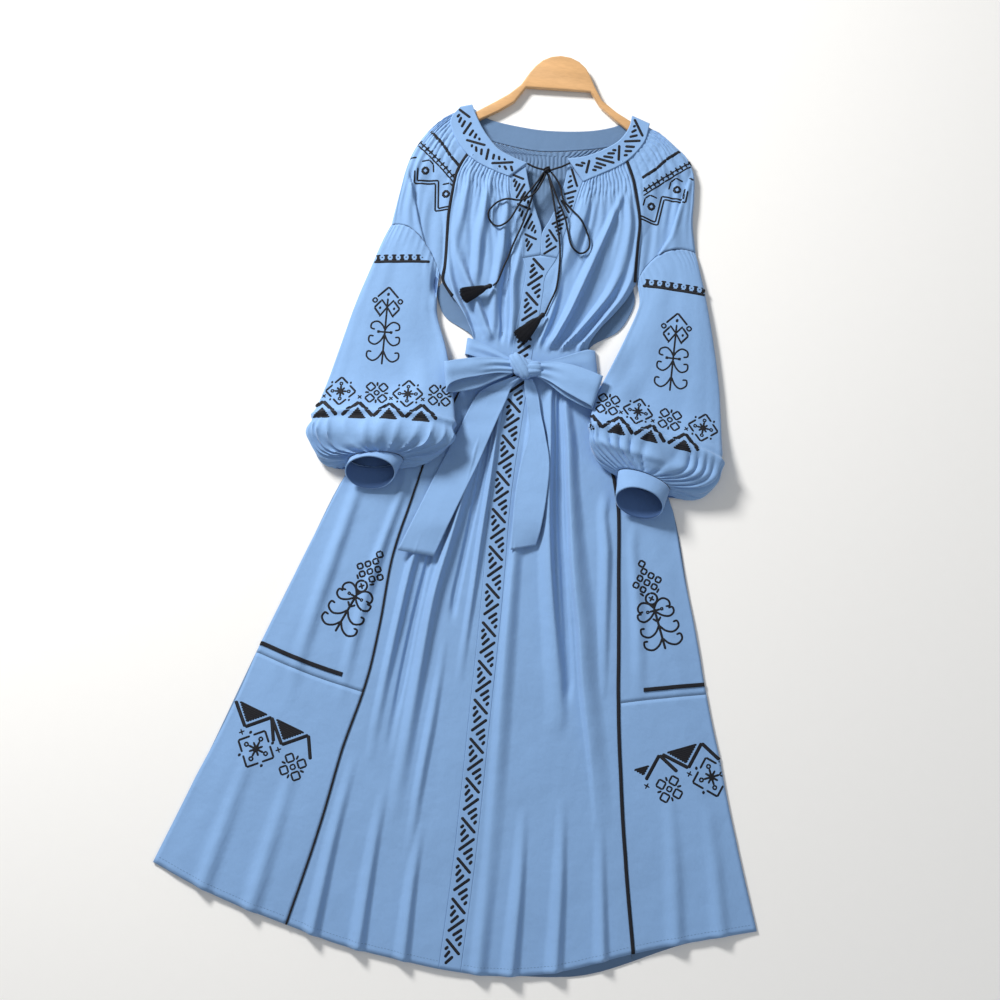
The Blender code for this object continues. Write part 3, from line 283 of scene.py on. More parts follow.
# Neckband in front, from the shoulder to the V: free inner edge and sewn outer edge
Band = namedtuple("Band", "inner_x inner_y outer_x outer_y")
NECKBANDS = {
    "left": [
        Band(-130, 385, -147, 379), Band(-123, 371, -158, 360), Band(-112, 353, -155, 343),
        Band(-100, 338, -140, 321), Band(-83, 322, -119, 302), Band(-60, 312, -91, 290),
        Band(-38.5, 306, -62, 282),
    ],
    "right": [
        Band(103, 398, 130, 389), Band(100, 378, 126, 362), Band(89, 358, 113, 339),
        Band(71, 343, 95, 320), Band(45, 328, 69, 303), Band(18, 320, 45, 288),
    ],
}
# Each V band: its inner edge, for the bodice rows from the neckband to the point
VEdge = namedtuple("VEdge", "inner_x inner_y")
V_BANDS = {
    "left": [
        VEdge(-41, 302), VEdge(-34, 279), VEdge(-25, 254), VEdge(-15, 231), VEdge(-5.5, 208),
        VEdge(-3.3, 172),
    ],
    "right": [
        VEdge(20, 314), VEdge(18, 283), VEdge(13, 253), VEdge(4, 226), VEdge(-4.9, 203),
        VEdge(-2.7, 172),
    ],
}
BackBand = namedtuple("BackBand", "top_x top_y low_x low_y")
BACK_BAND = [
    BackBand(-127, 384, -138, 358), BackBand(-110, 373, -112, 343),
    BackBand(-80, 367, -82, 335.5), BackBand(-24, 364, -24, 331),
    BackBand(35, 370, 38, 341), BackBand(75, 381, 82, 353), BackBand(100, 396, 116, 370),
]
# The back's edge beside the underarm, where it shows past the front
BACK_UNDERARM = {
    "left": [(-143, 104), (-138, 84), (-124, 63), (-86, 43), (-82, 18), (-84, -8)],
    "right": [(140, 122), (134, 98), (120, 74), (85, 47), (87, 18), (95, -8)],
}

# Belt
Lobe = namedtuple("Lobe", "long wide high x y lift turn crease")
KNOT_LOBES = (
    Lobe(34, 27, 14, 0, 0, -0.6, 0, 0.0),
    Lobe(43, 24, 17, -6, 1.5, 0.6, -47, 0.09),
    Lobe(28, 22, 16, 12, -0.5, 0.1, 16, 0.09),
)
KNOT_AT = (-4, 0, 21.5)
Strip = namedtuple("Strip", "upper_x upper_y lower_x lower_y z")
BELT_WRAPS = {
    "left": [
        Strip(-19.5, 10, -19.5, -7, 16.6), Strip(-34, 17, -34, -2, 13.0),
        Strip(-52, 25, -52, 4, 10.8), Strip(-70, 31, -72, 9, 9.4),
        Strip(-84, 36, -85, 12, 8.4), Strip(-89.8, 37, -89.8, 13, 5.6),
        Strip(-90.8, 37.5, -90.8, 13, 0.4),
    ],
    "right": [
        Strip(11.5, 10, 11.5, -8, 16.6), Strip(28, 17, 30, -4, 13.0),
        Strip(46, 25, 52, -5, 10.8), Strip(62, 33, 72, -4, 9.4),
        Strip(80, 41, 91, 1, 8.9), Strip(91, 42, 99.8, 3, 5.8),
        Strip(92.5, 42, 101.2, 3, 0.4),
    ],
}
BOW_LOOPS = {
    "left": [
        Strip(-19.5, 9, -19.5, -10, 20.5), Strip(-44, 9, -42, -23, 19.0),
        Strip(-72, 4, -66, -38, 21.0), Strip(-98, -3, -90, -47, 24.0),
        Strip(-113, -8, -104, -50, 25.5),
    ],
    "right": [
        Strip(11.5, 10, 11.5, -9, 20.5), Strip(36, 13, 32, -18, 19.0),
        Strip(62, 11, 54, -32, 21.0), Strip(86, 5, 78, -43, 24.0),
        Strip(103, 0, 94, -48, 25.5),
    ],
}
BELT_BACK_ENDS = (-86.5, 85.0)
LOOP_HEIGHT = 9.0
DRAWN_UP = {"left": 17.0, "right": 5.0}
TAIL_AT_KNOT = 16.2
TAILS = {
    "left": [
        Strip(-18, -13.6, -6, -13.6, 0), Strip(-52, -31, -19, -30, 0), Strip(-67, -48, -23, -46, 0),
        Strip(-82, -90, -34, -84, 0), Strip(-103, -150, -51, -145, 0), Strip(-124, -215, -73, -214, 0),
        Strip(-145, -279, -94, -281, 0),
    ],
    "right": [
        Strip(-3, -13.6, 9, -13.6, 0), Strip(1, -32, 19, -30, 0), Strip(9, -62, 28, -62, 0),
        Strip(14, -92, 37, -90, 0), Strip(8, -135, 48, -130, 0), Strip(6, -180, 50, -178, 0),
        Strip(8, -225, 48, -222, 0), Strip(10, -258, 44, -247, 0),
    ],
}

# Drawstring: routes, given as x, y and the lift over the cloth
CORD_KNOT = (-9, 297)
CORD_KNOT_RADIUS = 5.5
CORDS = {
    "cord_neck_left": [(-38.9, 303.9, 0.5), (-28, 300, 0), (-14.4, 297.4, 0)],
    "cord_neck_right": [(22.5, 312.7, 0.5), (9, 304.5, 0), (-4.0, 299, 0)],
    "cord_loop_left": [
        (-10.2, 291.2, 4), (-14, 278, 4.6), (-22, 260, 6), (-38, 247, 7.4), (-57, 246, 3), (-71, 243, 0),
        (-80, 234, 0), (-85, 221, 0), (-79, 210, 0), (-66, 205, 0), (-55, 213, 1), (-48, 228, 3.4),
        (-41, 244, 3.6), (-30, 262, 3.6), (-19.5, 280, 3.7), (-13.5, 293.1, 3.9),
    ],
    "cord_loop_right": [
        (-3.4, 295.2, 4), (5, 286, 2), (13, 275, 0), (19, 257, 0), (28, 248, 0), (40, 237, 0), (53, 222, 0),
        (63, 205, 0), (65, 191, 0), (58, 182, 0), (47, 182, 0), (38, 191, 0), (32, 210, 0), (25, 230, 3.6),
        (14, 250, 3.6), (3, 271, 3.6), (-6.5, 291.6, 4),
    ],
    "cord_end_left": [
        (-11.7, 292.3, 0), (-24, 262, 0), (-28, 240, 0), (-34, 214, 0), (-43, 184, 0), (-52, 149, 0),
        (-58.5, 123, 0), (-64.2, 115.9, 0.6),
    ],
    "cord_end_right": [
        (-7.4, 291.9, 0), (-3, 281, 0), (5, 256, 0), (13, 228, 0), (22, 194, 0), (26, 164, 0), (26, 126, 0),
        (19, 101, 0), (14.4, 85.6, 0.6),
    ],
}
CORD_STEP = 8.0
CORD_RING_STEP = 0.9
CORD_TWIST = 5.0
Tassel = namedtuple("Tassel", "x y to_x to_y")
TASSELS = {
    "tassel_left": Tassel(-65, 115.5, -108, 92),
    "tassel_right": Tassel(14, 85, -19, 41),
}
TASSEL_CLEAR = 0.3
TASSEL_THREADS = 150
GOLDEN_ANGLE = 2.399963
# A tassel's head, a turned bead and a neck wound with thread: place along it and radius
TASSEL_HEAD = [
    (0.0, 0.4), (0.6, 1.9), (2.0, 3.0), (4.0, 3.5), (6.0, 3.2), (7.0, 2.6), (7.4, 3.0), (8.4, 3.2),
    (9.4, 3.0), (10.2, 3.2), (11.2, 3.0), (12.0, 3.2), (13.0, 2.4),
]

# Hanger: a thin arched plate with two arms, drawn by its outline from the left tip round
HANGER_THICK = 8.0
HANGER_Z = 6.2
HANGER_CENTRE = (-7.0, 434.0)
HANGER_ARCH = 46.0
HANGER_LEFT = [
    (-173, 322), (-176, 316), (-170, 311), (-146, 338), (-120, 363), (-92, 381), (-70, 399), (-56, 424),
]
HANGER_RIGHT = [
    (38, 430), (54, 409), (78, 391), (100, 377), (126, 354), (158, 322), (164, 326), (162, 332),
]
HANGER_TOP_RIGHT = [(136, 362), (107, 389), (81, 402), (57, 418), (45, 436)]
HANGER_TOP_LEFT = [(-54, 447), (-64, 427), (-79, 411), (-98, 396), (-125, 376), (-152, 349)]


# Curves and heights
def smooth(value):
    value = min(1.0, max(0.0, value))
    return value * value * (3.0 - 2.0 * value)


def mix(low, high, share):
    return low + (high - low) * share


def spline(values, at):
    """A smooth curve through numbers that stand one apart."""
    at = min(max(at, 0.0), len(values) - 1.0)
    index = min(int(at), len(values) - 2)
    share = at - index
    here, after = values[index], values[index + 1]
    before = values[index - 1] if index > 0 else 2 * here - after
    beyond = values[index + 2] if index + 2 < len(values) else 2 * after - here
    bend = 3 * (here - after) + beyond - before
    return here + 0.5 * share * (after - before
                                 + share * (2 * before - 5 * here + 4 * after - beyond + share * bend))


def row_at(rows, at):
    """All the columns of a table between its rows."""
    return [spline(column, at) for column in zip(*rows)]


def bell(distance, reach):
    """A soft bump: 1 in its middle, 0 far from it."""
    return math.exp(-(distance / reach) ** 2)


def walk(points):
    """Distance along a line from its start to each of its points."""
    walked = [0.0]
    for a, b in zip(points, points[1:]):
        walked.append(walked[-1] + (b - a).length)
    return walked


def even_stops(walked, step):
    """Places an even step apart along a line: the point before each, and the share from it to the next."""
    count = max(2, round(walked[-1] / step))
    index = 0
    for number in range(count + 1):
        wanted = walked[-1] * number / count
        while index < len(walked) - 2 and walked[index + 1] < wanted:
            index += 1
        yield index, (wanted - walked[index]) / max(1e-6, walked[index + 1] - walked[index])


def table_value(rows, key, name, at):
    """Column `name` where column `key` has the value `at`."""
    keys = [getattr(row, key) for row in rows]
    at = min(max(at, keys[0]), keys[-1])
    index = max(i for i in range(len(keys) - 1) if keys[i] <= at)
    share = (at - keys[index]) / (keys[index + 1] - keys[index])
    return spline([getattr(row, name) for row in rows], index + share)


def skirt_x(part, name):
    return table_value(SKIRT, "part", name, part)


def row_y(part, x):
    """Height of a skirt row: the hem's own curve, scaled to the row."""
    half = 0.5 * (skirt_x(part, "edge_right") - skirt_x(part, "edge_left"))
    return part * table_value(HEM, "x", "y", x * HEM_HALF / half)


def outline_distance(x, y):
    """Distance in from the dress's own outline, along X."""
    if y > 0:
        rise = smooth((y - 35.0) / 85.0)
        left = mix(-82.0, -230.0, rise)
        right = mix(84.0, 230.0, rise)
    else:
        part = min(1.0, -y / 750.0)
        left = skirt_x(part, "edge_left")
        right = skirt_x(part, "edge_right")
    return min(x - left, right - x)


def belt_lift(y):
    rise = smooth((y - BELT_BACK_LOW + BELT_RAMP) / BELT_RAMP)
    fall = smooth((BELT_BACK_HIGH + BELT_RAMP - y) / BELT_RAMP)
    return BELT_BACK_LIFT * rise * fall


def fold_line(fold):
    """A fold's values at every whole millimetre of its length along Y."""
    stops = sorted((Fold(*stop) for stop in fold), key=lambda stop: stop.y)
    low, high = round(stops[0].y), round(stops[-1].y)
    values = [tuple(table_value(stops, "y", name, y) for name in ("x", "left", "right", "height"))
              for y in range(low, high + 1)]
    return low, values


FOLD_LINES = [fold_line(fold) for fold in FOLDS]
FOLD_END = 40.0
RIDGE_GAIN = 1.2
VALLEY_GAIN = 2.0


def fold_height(x, y):
    """All ridges and valleys at this place."""
    ridge_top, valleys = 0.0, 0.0
    for low, values in FOLD_LINES:
        index = round(y) - low
        if index < -FOLD_END or index > len(values) - 1 + FOLD_END:
            continue
        middle, left, right, height = values[min(max(index, 0), len(values) - 1)]
        reach = left if x < middle else right
        across = abs(x - middle)
        if across >= reach:
            continue
        beyond = max(-index, index - len(values) + 1, 0)
        wave = height * (0.5 + 0.5 * math.cos(math.pi * across / reach)) * smooth(1.0 - beyond / FOLD_END)
        if wave > 0:
            ridge_top = math.hypot(ridge_top, wave)
        else:
            valleys += wave
    under_belt = smooth((abs(y - 17.0) - 14.0) / 15.0)
    return (RIDGE_GAIN * ridge_top + VALLEY_GAIN * valleys) * under_belt


def front_height(x, y):
    """Underside of the front layer."""
    loft = LOFT * smooth(outline_distance(x, y) / LOFT_REACH)
    shoulder = SHOULDER_LIFT * smooth((y - SHOULDER_FROM) / (SHOULDER_TO - SHOULDER_FROM))
    even = EDGE_HEIGHT + loft + shoulder + belt_lift(y) + fold_height(x, y)
    return max(0.6, even + ripple(x, y, 46.0, 0.7) + ripple(x, y, 15.0, 0.25))


def drape_height(x, y, reach):
    """What a piece laid here rests on: the front's top, at its highest within reach."""
    highest = 0.0
    for ring in (0.0, 0.5, 1.0):
        for step in range(6 if ring else 1):
            angle = step * math.pi / 3
            highest = max(highest, front_height(x + ring * reach * math.cos(angle),
                                                y + ring * reach * math.sin(angle)))
    return highest + CLOTH


# Fineness of the cloth's grids
BODICE_FINE = 6
NECKBAND_FINE = 8
SKIRT_ROWS = 132
FIRST_PART = 0.04
FRONT_ACROSS = 136
SIDE_ACROSS = 34
FRONT_PLEATS = 15
CAP_PLEATS = 11
SLEEVE_AROUND = 168
SLEEVE_FINE = 8
SLEEVE_PLEATS = 30
CUFF_PLEATS = 27
CUFF_GATHER = 5.5


def ripple(x, y, size, height):
    """Soft unevenness of cloth that lies by itself."""
    return height * noise.noise(Vector((x / size, 0.6 * y / size, 7.3)))


def cloth_height(x, y):
    """Top of the front layer."""
    return front_height(x, y) + CLOTH


def resting_height(x, y, reach):
    """What a soft strip laid here rests on."""
    around = [cloth_height(x + reach * math.cos(step), y + reach * math.sin(step)) for step in range(1, 7)]
    return max(cloth_height(x, y), *around)


def bent_line(start, middle, end, share):
    """A curve through three points."""
    control = [2 * middle[i] - 0.5 * (start[i] + end[i]) for i in range(2)]
    return [(1 - share) ** 2 * start[i] + 2 * share * (1 - share) * control[i] + share ** 2 * end[i]
            for i in range(2)]


def smooth_rows(place, count):
    """place(across, row) for whole rows, made into place(across, row) for any row."""
    known = {}

    def between(across, row):
        if across not in known:
            known[across] = list(zip(*[place(across, whole) for whole in range(count)]))
        return [spline(column, row) for column in known[across]]

    return between


def side_sign(side):
    return -1.0 if side == "left" else 1.0


# Meshes and objects
def placed_grid(columns, rows, place, width, length, shape=None):
    """A grid with place(across, along) for shares from 0 to 1, and a UV map in metres.

    place gives x, y, z and, where the cloth is also pushed out along its own face, how far.
    """
    shape = shape or bmesh.new()
    layer = shape.loops.layers.uv.verify()
    points = bmesh.ops.create_grid(shape, x_segments=columns, y_segments=rows, size=0.5)["verts"]
    pushes = {}
    for point in points:
        across, along = point.co.x + 0.5, point.co.y + 0.5
        for loop in point.link_loops:
            loop[layer].uv = (across * width * MM, along * length * MM)
        x, y, z, *push = place(across, along)
        point.co = Vector((x, y, z))
        if push:
            pushes[point] = push[0]
    return shape, pushes


def face_up(shape):
    """Turns an open sheet so that its outside is above."""
    shape.normal_update()
    if sum(face.normal.z * face.calc_area() for face in shape.faces) < 0:
        bmesh.ops.reverse_faces(shape, faces=shape.faces)


def push_out(shape, pushes):
    shape.normal_update()
    for point, push in pushes.items():
        point.co += point.normal * push


def make_piece(name, shape, look, wall=0.0, nodes=(), sharp=60.0, inner_look=None):
    """Turns a mesh in millimetres into a finished piece of the dress."""
    bmesh.ops.scale(shape, vec=(MM, MM, MM), verts=shape.verts)
    mesh = bpy.data.meshes.new(name)
    shape.to_mesh(mesh)
    shape.free()
    mesh.shade_smooth()
    mesh.set_sharp_from_angle(angle=math.radians(sharp))
    made = bpy.data.objects.new(name, mesh)
    mesh.materials.append(look)
    bpy.context.scene.collection.objects.link(made)
    if wall:
        solid = made.modifiers.new("wall", "SOLIDIFY")
        solid.thickness = wall * MM
        solid.offset = -1.0
        # the inner face takes its own look; inside the sleeves and cuffs that look is painted shade
        if inner_look:
            mesh.materials.append(inner_look)
            solid.material_offset = 1
    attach(made, "root")
    if nodes:
        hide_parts(*nodes)
    return made


def laid_sheet(name, columns, rows, place, width, length, look, wall=CLOTH, nodes=(),
               inner_look=None):
    """An open cloth piece whose top is given by place."""
    shape, pushes = placed_grid(columns, rows, place, width, length)
    face_up(shape)
    push_out(shape, pushes)
    return make_piece(name, shape, look, wall, nodes, inner_look=inner_look)


def folded_shell(name, columns, rows, place, width, length, look, wall=CLOTH, nodes=(),
                 inner_look=None):
    """A curved or closed cloth piece whose outer face is given by place, and which the floor carries."""
    shape, pushes = placed_grid(columns, rows, place, width, length)
    bmesh.ops.recalc_face_normals(shape, faces=shape.faces)
    push_out(shape, pushes)
    for point in shape.verts:
        point.co.z = max(point.co.z, 0.0)
    bmesh.ops.remove_doubles(shape, verts=shape.verts, dist=0.02)
    bmesh.ops.recalc_face_normals(shape, faces=shape.faces)
    return make_piece(name, shape, look, wall, nodes, inner_look=inner_look)


# Shader maths
class Value:
    """A shader output that can stand in a sum."""

    def __init__(self, shader, socket):
        self.shader = shader
        self.socket = socket

    def math(self, operation, first, second):
        return self.shader.node("ShaderNodeMath", {"operation": operation}, {0: first, 1: second})

    def __add__(self, other):
        return self.math("ADD", self, other)

    __radd__ = __add__

    def __sub__(self, other):
        return self.math("SUBTRACT", self, other)

    def __rsub__(self, other):
        return self.math("SUBTRACT", other, self)

    def __mul__(self, other):
        return self.math("MULTIPLY", self, other)

    __rmul__ = __mul__

    def __pow__(self, other):
        return self.math("POWER", self, other)


class Shader:
    """One material's nodes."""

    def __init__(self, name, colour):
        self.material = bpy.data.materials.new(name)
        self.material.use_nodes = True
        self.material.diffuse_color = (*colour[:3], 1.0)
        self.tree = self.material.node_tree
        self.surface = self.tree.nodes["Principled BSDF"]

    def node(self, kind, settings=None, sockets=None, output=0):
        made = self.tree.nodes.new(kind)
        for name, value in (settings or {}).items():
            setattr(made, name, value)
        for name, value in (sockets or {}).items():
            self.feed(made.inputs[name], value)
        return Value(self, made.outputs[output])

    def feed(self, socket, value):
        if isinstance(value, Value):
            self.tree.links.new(value.socket, socket)
        else:
            socket.default_value = value

    def set(self, **sockets):
        """Values of the Principled shader, with spaces written as underscores."""
        for name, value in sockets.items():
            self.feed(self.surface.inputs[name.replace("_", " ")], value)

    def uv(self):
        return self.node("ShaderNodeTexCoord", output=2)

    def place(self):
        return self.node("ShaderNodeTexCoord", output=3)

    def waves(self, vector, direction, pitch, distortion=0.0):
        """Even waves from 0 to 1, a pitch in metres apart."""
        return self.node("ShaderNodeTexWave", {"bands_direction": direction},
                         {"Vector": vector, "Scale": math.pi / 10.0 / pitch, "Distortion": distortion,
                          "Detail": 0.0}, 1)

    def clouds(self, vector, size, detail=3.0, roughness=0.5):
        """Soft random patches of a size in metres."""
        return self.node("ShaderNodeTexNoise", None,
                         {"Vector": vector, "Scale": 1.0 / size, "Detail": detail, "Roughness": roughness})

    def blend(self, factor, low, high):
        """A colour between two."""
        return self.node("ShaderNodeMix", {"data_type": "RGBA"}, {0: factor, 6: low, 7: high}, 2)

    def bump(self, height, distance, strength=1.0, normal=None):
        sockets = {"Height": height, "Distance": distance, "Strength": strength}
        if normal:
            sockets["Normal"] = normal
        return self.node("ShaderNodeBump", None, sockets)


def shade(colour, factor):
    """The same colour, darker or lighter."""
    return (*[min(1.0, part * factor) for part in colour[:3]], 1.0)


def plain_weave(shader, pitch):
    """Over and under of two sets of threads."""
    uv = shader.uv()
    warp = shader.waves(uv, "X", pitch)
    weft = shader.waves(uv, "Y", pitch)
    return (warp - 0.5) * (weft - 0.5) * 2.0 + 0.5


def cloth_look(name, colour, pitch, crumple, sheen):
    """Woven cotton: threads, slightly uneven dye and soft crumples."""
    shader = Shader(name, colour)
    weave = plain_weave(shader, pitch)
    place = shader.place()
    dye = shader.clouds(place, 0.09, 2.0)
    slub = shader.clouds(place, 0.004, 2.0)
    tone = dye * 0.45 + slub * 0.2 + weave * 0.35
    base = shader.blend(tone, shade(colour, 0.86), shade(colour, 1.14))
    crumples = shader.clouds(place, 0.028, 3.0, 0.55)
    creased = shader.bump(crumples, crumple)
    threads = shader.bump(weave, 0.00012, 0.35, creased)
    shader.set(Base_Color=base, Normal=threads, Roughness=slub * 0.15 + 0.72)
    shader.set(Sheen_Weight=sheen, Sheen_Roughness=0.45, Specular_IOR_Level=0.25)
    return shader.material


def thread_look(name, colour, pitch):
    """Black embroidery thread, laid side by side across each line."""
    shader = Shader(name, colour)
    uv = shader.uv()
    strands = shader.waves(uv, "Y", pitch)
    fuzz = shader.clouds(shader.place(), 0.0012, 2.0)
    base = shader.blend(strands * 0.6 + fuzz * 0.4, shade(colour, 0.5), shade(colour, 1.3))
    shader.set(Base_Color=base, Normal=shader.bump(strands, 0.00012, 0.8), Roughness=fuzz * 0.3 + 0.45)
    shader.set(Sheen_Weight=0.04, Sheen_Roughness=0.4, Specular_IOR_Level=0.2)
    return shader.material


def tape_look(name, colour):
    """Ribbed woven tape."""
    shader = Shader(name, colour)
    uv = shader.uv()
    ribs = shader.waves(uv, "Y", 0.0011)
    edge = shader.waves(uv, "X", 0.0016)
    fuzz = shader.clouds(shader.place(), 0.002, 2.0)
    base = shader.blend(ribs * 0.5 + fuzz * 0.5, shade(colour, 0.5), shade(colour, 1.6))
    shader.set(Base_Color=base, Normal=shader.bump(ribs * 0.7 + edge * 0.3, 0.00025, 0.8),
               Roughness=fuzz * 0.25 + 0.6)
    shader.set(Sheen_Weight=0.05, Sheen_Roughness=0.5, Specular_IOR_Level=0.2)
    return shader.material


def wood_look(name, colour):
    """Honey coloured wood with a long grain and a clear coat."""
    shader = Shader(name, colour)
    place = shader.node("ShaderNodeMapping", None, {"Vector": shader.place(), "Scale": (1.0, 5.0, 5.0)})
    grain = shader.waves(place, "Y", 0.16, 3.0)
    fine = shader.clouds(place, 0.012, 4.0, 0.6)
    tone = grain * 0.22 + fine * 0.78
    base = shader.blend(tone, shade(colour, 0.72), shade(colour, 1.2))
    shader.set(Base_Color=base, Normal=shader.bump(fine, 0.0002, 0.5), Roughness=fine * 0.15 + 0.35)
    shader.set(Coat_Weight=0.35, Coat_Roughness=0.2)
    return shader.material


def floor_look(name, colour):
    shader = Shader(name, colour)
    grain = shader.clouds(shader.place(), 0.02, 3.0)
    shader.set(Base_Color=shader.blend(grain, shade(colour, 0.985), shade(colour, 1.0)), Roughness=0.9)
    return shader.material


LOOKS = {}


def look(name):
    """A finish of the dress, made once from the settings."""
    if name not in LOOKS:
        chosen = bpy.context.scene.dress
        LOOKS[name] = {
            "cloth": lambda: cloth_look("blue_cloth", chosen.cloth_colour, chosen.thread_pitch,
                                        chosen.crumple, chosen.sheen),
            "band": lambda: cloth_look("embroidered_band", chosen.band_colour, chosen.thread_pitch * 1.3,
                                       0.3 * chosen.crumple, chosen.sheen),
            # painted shade: the back's inside, the back's sides and the back neckband are drawn at 0.56 of
            # the cloth's colour for the shade inside the dress
            "inside": lambda: cloth_look("wrong_side", shade(chosen.cloth_colour, 0.56), chosen.thread_pitch,
                                         chosen.crumple, chosen.sheen),
            # painted shade: a dark navy look for the inner faces of the puffed sleeves and cuffs, for the
            # deep shade inside them
            "inner_look": lambda: cloth_look("inner_cloth", chosen.sleeve_shade_colour, chosen.thread_pitch,
                                         chosen.crumple, 0.0),
            "thread": lambda: thread_look("dark_thread", chosen.thread_colour, 0.0005),
            "tape": lambda: tape_look("dark_tape", chosen.thread_colour),
            "cord": lambda: thread_look("dark_cord", chosen.thread_colour, 0.0009),
            # the hem stitches are real thread in the cloth's tone, darkened as painted shade for their sunken
            # line
            "seam": lambda: thread_look("blue_thread", shade(chosen.cloth_colour, 0.62), 0.0004),
            "wood": lambda: wood_look("honey_wood", chosen.wood_colour),
            "floor": lambda: floor_look("pale_floor", chosen.floor_colour),
        }[name]()
    return LOOKS[name]


class DressSettings(bpy.types.PropertyGroup):
    """What a user would change on the dress."""

    cloth_colour: FloatVectorProperty(
        name="Cloth", description="Colour of the cotton", subtype="COLOR",
        default=(0.215, 0.372, 0.635), size=3, min=0.0, max=1.0)
    band_colour: FloatVectorProperty(
        name="Bands", description="Ground colour of the embroidered bands", subtype="COLOR",
        default=(0.212, 0.366, 0.625), size=3, min=0.0, max=1.0)
    # painted shade: the navy colour inside sleeves and cuffs stands in for their shade, not for a darker
    # cloth
    sleeve_shade_colour: FloatVectorProperty(
        name="Inside", description="Colour of the cloth inside sleeves and cuffs", subtype="COLOR",
        default=(0.065, 0.135, 0.315), size=3, min=0.0, max=1.0)
    thread_colour: FloatVectorProperty(
        name="Thread", description="Colour of stitching, tapes and drawstring", subtype="COLOR",
        default=(0.010, 0.011, 0.016), size=3, min=0.0, max=1.0)
    wood_colour: FloatVectorProperty(
        name="Wood", description="Colour of the hanger", subtype="COLOR",
        default=(0.62, 0.36, 0.16), size=3, min=0.0, max=1.0)
    floor_colour: FloatVectorProperty(
        name="Floor", description="Colour of the floor", subtype="COLOR",
        default=(0.90, 0.89, 0.87), size=3, min=0.0, max=1.0)
    thread_pitch: FloatProperty(
        name="Thread pitch", description="Distance between two threads of the cloth",
        default=0.00055, min=0.0002, max=0.003, unit="LENGTH")
    crumple: FloatProperty(
        name="Crumple", description="Depth of the cloth's small crumples",
        default=0.0012, min=0.0, max=0.01, unit="LENGTH")
    sheen: FloatProperty(
        name="Sheen", description="Soft light at the edge of folds", default=0.25, min=0.0, max=1.0,
        subtype="FACTOR")
    shirring: FloatProperty(
        name="Shirring", description="Height of the gathered ridges in millimetres",
        default=2.8, min=0.0, max=4.0)
    pleats: IntProperty(
        name="Pleats", description="Gathered ridges on each front panel", default=FRONT_PLEATS, min=4, max=30)


# Rows of the front from the neck to the hem
PanelRow = namedtuple("PanelRow", "outer_x outer_y inner_x inner_y part down")


def skirt_panel_row(side, part):
    outer_x = skirt_x(part, "seam_" + side)
    inner_x = skirt_x(part, "centre") + side_sign(side) * CENTRE_BAND_HALF
    return [outer_x, row_y(part, outer_x), inner_x, row_y(part, inner_x)]


def panel_rows(side):
    bodice = BODICE[side]
    ends = []
    for step in range((len(bodice) - 1) * BODICE_FINE + 1):
        at = step / BODICE_FINE
        ends.append((row_at(bodice, at), None))
    last, first = ends[-1][0], skirt_panel_row(side, FIRST_PART)
    for step in (0.25, 0.5, 0.75):
        ends.append(([mix(a, b, step) for a, b in zip(last, first)], None))
    for step in range(SKIRT_ROWS + 1):
        part = mix(FIRST_PART, 1.0, step / SKIRT_ROWS)
        ends.append((skirt_panel_row(side, part), part))
    rows, down = [], 0.0
    for index, (end, part) in enumerate(ends):
        if index:
            before = ends[index - 1][0]
            down += 0.5 * (math.dist(end[:2], before[:2]) + math.dist(end[2:], before[2:]))
        rows.append(PanelRow(*end, part, down))
    return rows


ROWS = {side: panel_rows(side) for side in SIDES}


STITCH_ROW_PITCH = 7.5
SHIRRED_TO = 66.0
SOFT_FROM = 26.0
SOFT_TO = 210.0


def ridge(phase):
    """One gathered ridge: round on top, sharp in its valley."""
    return abs(math.sin(math.pi * phase)) ** 0.75


def shirring(across, down, count, height, seed):
    """Gathered ridges that fade down the cloth, first short crinkled ones and then fewer soft ones."""
    wander = 0.4 * noise.noise(Vector((across * 6.0, down / 16.0, seed)))
    slip = 0.5 * noise.noise(Vector((across * 30, 0, seed)))
    rows = 0.72 + 0.28 * math.cos(2.0 * math.pi * (down / STITCH_ROW_PITCH + slip))
    uneven = 0.75 + 0.7 * noise.noise(Vector((across * 14.0, down / 12.0, seed + 3.0)))
    raised = height * smooth((SHIRRED_TO - down) / 36.0) * rows * uneven * ridge(across * count + wander)
    soft = smooth((down - SOFT_FROM) / 40.0) * smooth((SOFT_TO - down) / 130.0)
    wander = 0.6 * noise.noise(Vector((across * 3.0, down / 70.0, seed + 9.0)))
    return raised + 1.6 * soft * (0.5 + 0.5 * math.cos(2.0 * math.pi * (across * 0.5 * count + wander)))


def front_panel(side):
    rows = ROWS[side]
    chosen = bpy.context.scene.dress
    count = len(rows) - 1

    def place(across, along):
        row = rows[round(along * count)]
        start, end = row.outer_x, row.inner_x
        x = mix(start, end, across)
        if row.part is None:
            y = mix(row.outer_y, row.inner_y, across)
        else:
            y = row_y(row.part, x)
        edge = smooth(min(across, 1.0 - across) * abs(end - start) / 4.0)
        gathered = shirring(across, row.down, chosen.pleats, chosen.shirring, 1.0) * edge
        return x, y, cloth_height(x, y) + gathered

    return laid_sheet("front_panel_" + side, FRONT_ACROSS, count, place, 220.0, rows[-1].down,
                      look("cloth"), nodes=("front_" + side,))


